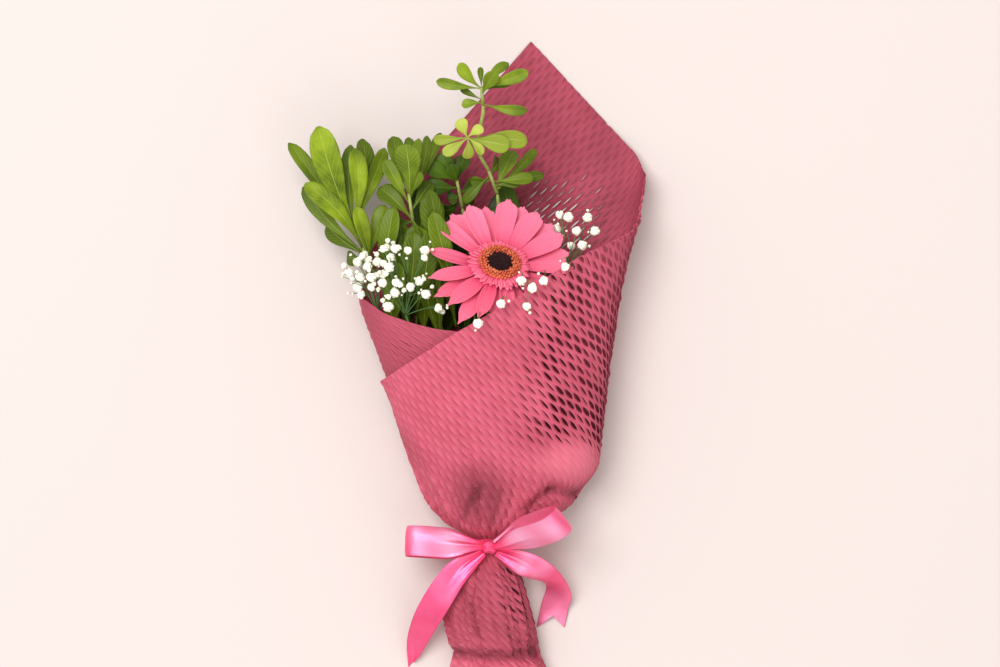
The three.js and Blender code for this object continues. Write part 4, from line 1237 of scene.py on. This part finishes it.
sprigs = dict(
    left=dict(
        foot=(-84, 200, 48), crown=(-98, 228, 52), finish="leaf", slot="leaf", node="sprig_left_leaves",
        leaves=[
            (0.8, -122, 299, 74, 21, 0), (0.7, -143, 291, 48, 12, 0.6), (1, -95, 284, 68, 14, 0.0),
            (0.9, -101, 288, 52, 12, 0.7), (1, -74, 286, 44, 12, 0.2), (0.9, -90, 294, 36, 15, 0.9),
            (0.45, -130, 260, 68, 16, 0.1), (0.35, -135, 258, 46, 12, 0.7), (0.3, -119, 231, 34, 13, 0.9),
            (0, -94, 242, 72, 12, 0.1), (0, -104, 209, 32, 11, 1), (0.25, -76, 245, 54, 13, 0.6),
        ]),
    middle=dict(
        foot=(-55, 232, 50), crown=(-58, 253, 57), finish="leaf", slot="leaf", node="sprig_middle_leaves",
        leaves=[
            (1, -60, 287, 72, 19, 0.5), (0.6, -75, 277, 60, 11, 0.4), (0.1, -79, 258, 50, 15, 0.8),
            (1, -69, 295, 48, 13, 0.6), (0.9, -58, 295, 40, 9, 0.9), (0.9, -52, 294, 42, 8, 0.5),
            (0.8, -44, 296, 38, 8, 0.8), (0.8, -36, 299, 36, 8, 0.9), (0.1, -43, 213, 66, 12, 0.3),
            (0, -68, 229, 38, 13, 0.9), (0.9, -50, 268, 66, 9, 0.7), (0.4, -42, 262, 44, 11, 1),
        ]),
    dark=dict(
        foot=(-20, 244, 30), crown=(-24, 264, 36), finish="darkLeaf", slot="leaf", node="sprig_dark_leaves",
        leaves=[
            (1, -45, 275, 43, 13, 0.1), (0.7, -46, 259, 42, 13, 0.2), (1, -36, 282, 42, 13, 0.1),
            (1, -18, 281, 36, 13, 0.5), (0.2, -38, 240, 24, 13, 0.9), (0.5, -8, 262, 30, 13, 0.6),
            (0.4, -30, 250, 34, 12, 0.6), (0.2, -12, 246, 30, 11, 0.9), (0.9, -28, 274, 46, 10, 0.0),
        ]),
    tallLower=dict(
        foot=(5, 254, 40), crown=(-1, 270, 46), finish="leaf", slot="leaf", node="sprig_tall_lower_leaves",
        leaves=[
            (0.1, 17, 285, 36, 14, 0.4), (0.1, 34, 286, 30, 8, 0.6), (0.5, 31, 265, 48, 10, 0.7),
            (0.3, 39, 267, 38, 8, 0.9), (0.8, 8, 278, 30, 12, 0.9), (0.8, -19, 247, 46, 8, 0.9),
            (0.3, 22, 262, 44, 9, 0.9), (0.6, -14, 262, 44, 9, 0.6),
        ]),
    rosette=dict(
        foot=(-15, 291, 68), crown=(-16, 292, 76), finish="youngLeaf", slot="young_leaf",
        node="sprig_tall_rosette",
        leaves=[
            (1, -21, 305, 80, 9.5, 0), (1, -5, 299, 80, 8, 0.1), (1, -40, 290, 76, 8, 0.8),
            (1, -33, 280, 79, 8.5, 0.3), (1, -5, 280, 79, 7, 0.1), (0.9, -16, 277, 74, 9, 0.4),
            (0.6, 14, 286, 74, 13, 1), (0.3, 27, 290, 66, 13, 1),
        ]),
    top=dict(
        foot=(-5, 316, 64), crown=(-6, 328, 68), finish="leaf", slot="leaf", node="sprig_tall_top_leaves",
        leaves=[
            (1, -38, 332, 70, 8, 0), (1, -22, 344, 76, 9.5, 0), (1, -7, 343, 64, 4.5, 0.8),
            (1, 13, 346, 66, 8, 0.4), (1, 27, 338, 78, 10, 0), (0.6, 4, 338, 80, 11, 0.5),
            (0.3, -21, 328, 62, 5, 0.9),
            (0.1, -20, 316, 66, 7, 0.1), (0.06, 26, 311, 72, 8, 0.3), (0.8, 16, 333, 62, 7, 0.9),
        ]),
)


# Lower leaves that fill the mouth of the roll behind the flowers, on the middle and the dark sprig.
understorey = dict(
    middle=dict(count=24, seed=3, x=(-72, -36), y=(176, 232), z=(30, 74),
                reach=(32, 44), wide=(12, 17), tone=(0.5, 1.0)),
    dark=dict(count=36, seed=9, x=(-54, 14), y=(164, 240), z=(8, 34),
              reach=(34, 48), wide=(14, 19), tone=(0.3, 1.0)),
)


def lowerLeaves(setting):
    draw = random.Random(setting["seed"])
    for _ in range(setting["count"]):
        x, y, z = (draw.uniform(*setting[key]) for key in ("x", "y", "z"))
        turn = rad(draw.uniform(62, 118))
        reach = draw.uniform(*setting["reach"])
        foot = fromTie(x - reach * math.cos(turn), y - reach * math.sin(turn), z * 0.7)
        wide, tone = (draw.uniform(*setting[key]) for key in ("wide", "tone"))
        yield foot, fromTie(x, y + 24, z + 6), wide, tone


def makeSprigs():
    for number, (name, setting) in enumerate(sprigs.items()):
        draw = random.Random(40 + number)
        foot, crown = fromTie(*setting["foot"]), fromTie(*setting["crown"])
        build = Build()
        build.rod([foot, foot.lerp(crown, 0.5), crown], (1.36 * mm, 1.1 * mm), 9, 0.0, 1)
        for share, x, y, z, wide, tone in setting["leaves"]:
            start = foot.lerp(crown, min(max(share, 0.06), 0.94))
            build.sheet(leafRows(start, fromTie(x, y, z), wide, draw), 0.4 * mm, tone, 0)
        if name in understorey:
            for start, tip, wide, tone in lowerLeaves(understorey[name]):
                build.sheet(leafRows(start, tip, wide, draw), 0.4 * mm, tone, 0)
        mesh = build.mesh("leaves_" + name)
        piece = newPiece("leaves_" + name, mesh, finishes[setting["finish"]], finishes["twig"])
        finishPiece(piece, setting["slot"], setting["node"])
    print("sprigs", len(sprigs))


# Baby's breath: where each spray forks and where its florets are.
sprays = dict(
    gypsophila_outer_left=dict(
        seat=145, fork=(-80, 168, 58), extra=2, buds=2,
        florets=[(-100, 196, 66), (-94, 204, 60), (-92, 193, 76), (-87, 201, 70), (-84, 193, 80),
                 (-80, 204, 66), (-94, 186, 70), (-84, 186, 74), (-76, 195, 74), (-72, 172, 80)]),
    gypsophila_inner_left=dict(
        seat=110, fork=(-60, 166, 68), extra=1, buds=2,
        florets=[(-73, 214, 72), (-70, 207, 80), (-67, 213, 84), (-58, 212, 80), (-71, 200, 84),
                 (-76, 189, 84), (-66, 189, 86), (-67, 182, 80), (-56, 186, 84), (-50, 190, 78),
                 (-46, 212, 86), (-45, 181, 84), (-36, 171, 86)]),
    gypsophila_right=dict(
        seat=350, fork=(52, 190, 54), extra=0, buds=1,
        florets=[(56, 236, 56), (62, 226, 60), (75, 226, 62), (66, 216, 66), (58, 216, 54), (50, 238, 50),
                 (70, 236, 52), (48, 228, 44)]),
    gypsophila_front=dict(
        seat=35, fork=(34, 160, 62), extra=0, buds=1, over=True,
        florets=[(22, 190, 104), (30, 185, 105), (38, 190, 104), (53, 200, 99), (26, 172, 105),
                 (8, 174, 108), (-8, 160, 114)]),
)
bundle = dict(ringRadius=5.12, axisHeight=17.92, stemEnd=84, rubberBand=30, footSpread=1.12, fanOut=1.3,
              mainDiameter=1.5, branchDiameter=0.8, twigletDiameter=0.56, floretDiameter=8.4)


def sprayRoute(seatTurn, head):
    turn = rad(seatTurn)

    def seat(along, spread):
        return Vector((spread * bundle["ringRadius"] * math.cos(turn), along,
                       bundle["axisHeight"] + spread * bundle["ringRadius"] * math.sin(turn)))

    target = Vector(head)
    start = seat(0, 1)
    points = [seat(-bundle["stemEnd"], bundle["footSpread"]), seat(-bundle["rubberBand"], 1), start]
    for share in (0.3, 0.62):
        ease = share ** bundle["fanOut"]
        x, z = mix(start.x, target.x, ease), mix(start.z, target.z, ease)
        points.append(Vector((x, target.y * share, z)))
    points.append(target)
    return [fromTie(*p) for p in points]


# A double floret: a knot of small uneven lobes, one unit in radius.
def doubleFloret():
    draw = random.Random(21)
    build = Build()
    for k in range(13):
        share = (k + 0.5) / 13
        tilt, turn = math.acos(1 - 1.35 * share), 2.399963 * k
        way = Vector((math.sin(tilt) * math.cos(turn), math.sin(tilt) * math.sin(turn), math.cos(tilt)))
        size = draw.uniform(0.34, 0.48)
        lobe = [(0, -1), (0.72, -0.6), (1, 0.0), (0.72, 0.6), (0, 0.9)]
        profile = [(r * size, z * size * 0.8) for r, z in lobe]
        points, faces = turnedOf(profile, 7, star=draw.uniform(0, 0.3))
        lean = way.to_track_quat("Z", "Y").to_matrix()
        build.take([way * draw.uniform(0.4, 0.64) + lean @ p for p in points], faces)
    return build.points, build.faces


def sprayTree():
    tree = bpy.data.node_groups.new("sprayFlorets", "GeometryNodeTree")
    tree.interface.new_socket(name="Geometry", in_out="OUTPUT", socket_type="NodeSocketGeometry")
    treeInput(tree, "Geometry", "Geometry")
    treeInput(tree, "Places", "Object")
    treeInput(tree, "Floret", "Object")
    treeInput(tree, "Size", "Float")
    treeInput(tree, "Lean", "Float")
    treeInput(tree, "Seed", "Int")
    treeInput(tree, "Material", "Material")
    start = put(tree, "NodeGroupInput").outputs
    places = put(tree, "GeometryNodeObjectInfo", {"Object": start["Places"]})
    floret = put(tree, "GeometryNodeObjectInfo", {"Object": start["Floret"]})
    size = put(tree, "GeometryNodeInputNamedAttribute", {"Name": "size"}, data_type="FLOAT").outputs[0]
    turn = put(tree, "FunctionNodeRandomValue", {"Seed": start["Seed"]}, data_type="FLOAT_VECTOR")
    turn.inputs[0].default_value = (-1, -1, -4)
    turn.inputs[1].default_value = (1, 1, 4)
    spin = scaledBy(tree, turn.outputs[0], start["Lean"])
    rotation = put(tree, "FunctionNodeEulerToRotation", {0: spin}).outputs[0]
    much = times(tree, size, start["Size"])
    many = put(tree, "GeometryNodeInstanceOnPoints", {
        "Points": places.outputs["Geometry"], "Instance": floret.outputs["Geometry"], "Rotation": rotation,
        "Scale": vectorOf(tree, much, much, much)})
    real = put(tree, "GeometryNodeRealizeInstances", {0: many.outputs[0]})
    painted = put(tree, "GeometryNodeSetMaterial", {
        "Geometry": real.outputs[0], "Material": start["Material"]})
    both = put(tree, "GeometryNodeJoinGeometry")
    tree.links.new(painted.outputs[0], both.inputs[0])
    tree.links.new(start["Geometry"], both.inputs[0])
    put(tree, "NodeGroupOutput", {0: both.outputs[0]})
    return tree


def makeSprays():
    tree = sprayTree()
    floret = seedObject("floret", *doubleFloret())
    for number, (node, setting) in enumerate(sprays.items()):
        draw = random.Random(70 + number)
        build = Build()
        fork = fromTie(*setting["fork"])
        route = sprayRoute(setting["seat"], setting["fork"])
        build.rod(curveThrough(route, 40), (0.9 * mm, bundle["mainDiameter"] / 2 * mm), 7, 0.2)
        places, sizes = [], []
        for x, y, z in setting["florets"]:
            spot = fromTie(x, y, z)
            bend = fork.lerp(spot, 0.55) + Vector((draw.uniform(-2, 2), 2, draw.uniform(-1, 2))) * mm
            path = [fork, bend, spot]
            if setting.get("over"):  # up from under the front of the paper and over its edge
                edge = valueThrough(roll["frontEdge"], x)
                bend = fromTie(x + 1, max(y, edge) + 5, z - 3)
                path = [fork, fromTie(x + 1, edge - 6, 66), fromTie(x + 1, edge + 5, 84), bend, spot]
            build.rod(curveThrough(path, 16), (bundle["branchDiameter"] / 2 * mm, 0.25 * mm), 5, 0.4)
            places.append(spot)
            sizes.append(draw.uniform(0.88, 1.12))
            for k in range(setting["extra"] + setting["buds"]):
                small = k >= setting["extra"]
                away = Vector([draw.uniform(*reach) for reach in ((-1, 1), (-0.6, 1), (-0.8, 0.5))])
                near = spot + away.normalized() * draw.uniform(5, 8.5) * mm
                halfway = bend.lerp(near, 0.5) + Vector((0, 1, 0.6)) * mm
                radii = (bundle["twigletDiameter"] / 2 * mm, 0.22 * mm)
                build.rod(curveThrough([bend, halfway, near], 6), radii, 4, 0.5)
                places.append(near)
                sizes.append(draw.uniform(0.2, 0.34) if small else draw.uniform(0.45, 0.85))
        mesh = bpy.data.meshes.new("places")
        mesh.from_pydata([tuple(p) for p in places], [], [])
        mesh.attributes.new("size", "FLOAT", "POINT").data.foreach_set("value", sizes)
        spots = bpy.data.objects.new("places", mesh)
        bpy.context.scene.collection.objects.link(spots)
        piece = newPiece("spray_" + node.split("_", 1)[1], build.mesh(node), finishes["sprayStem"])
        grow(piece, tree, {
            "Places": spots, "Floret": floret, "Size": bundle["floretDiameter"] / 2 * mm, "Lean": 0.55,
            "Seed": 20 + number, "Material": finishes["spray"],
        })
        settle(piece)
        discard(spots)
        finishPiece(piece, "white_spray", node)
        print(piece.name, len(places), "florets")
    discard(floret)


makeStudio()
makePaper()
makeRibbon()
makePetals()
makeHead()
makeRounded()
makeSprigs()
makeSprays()
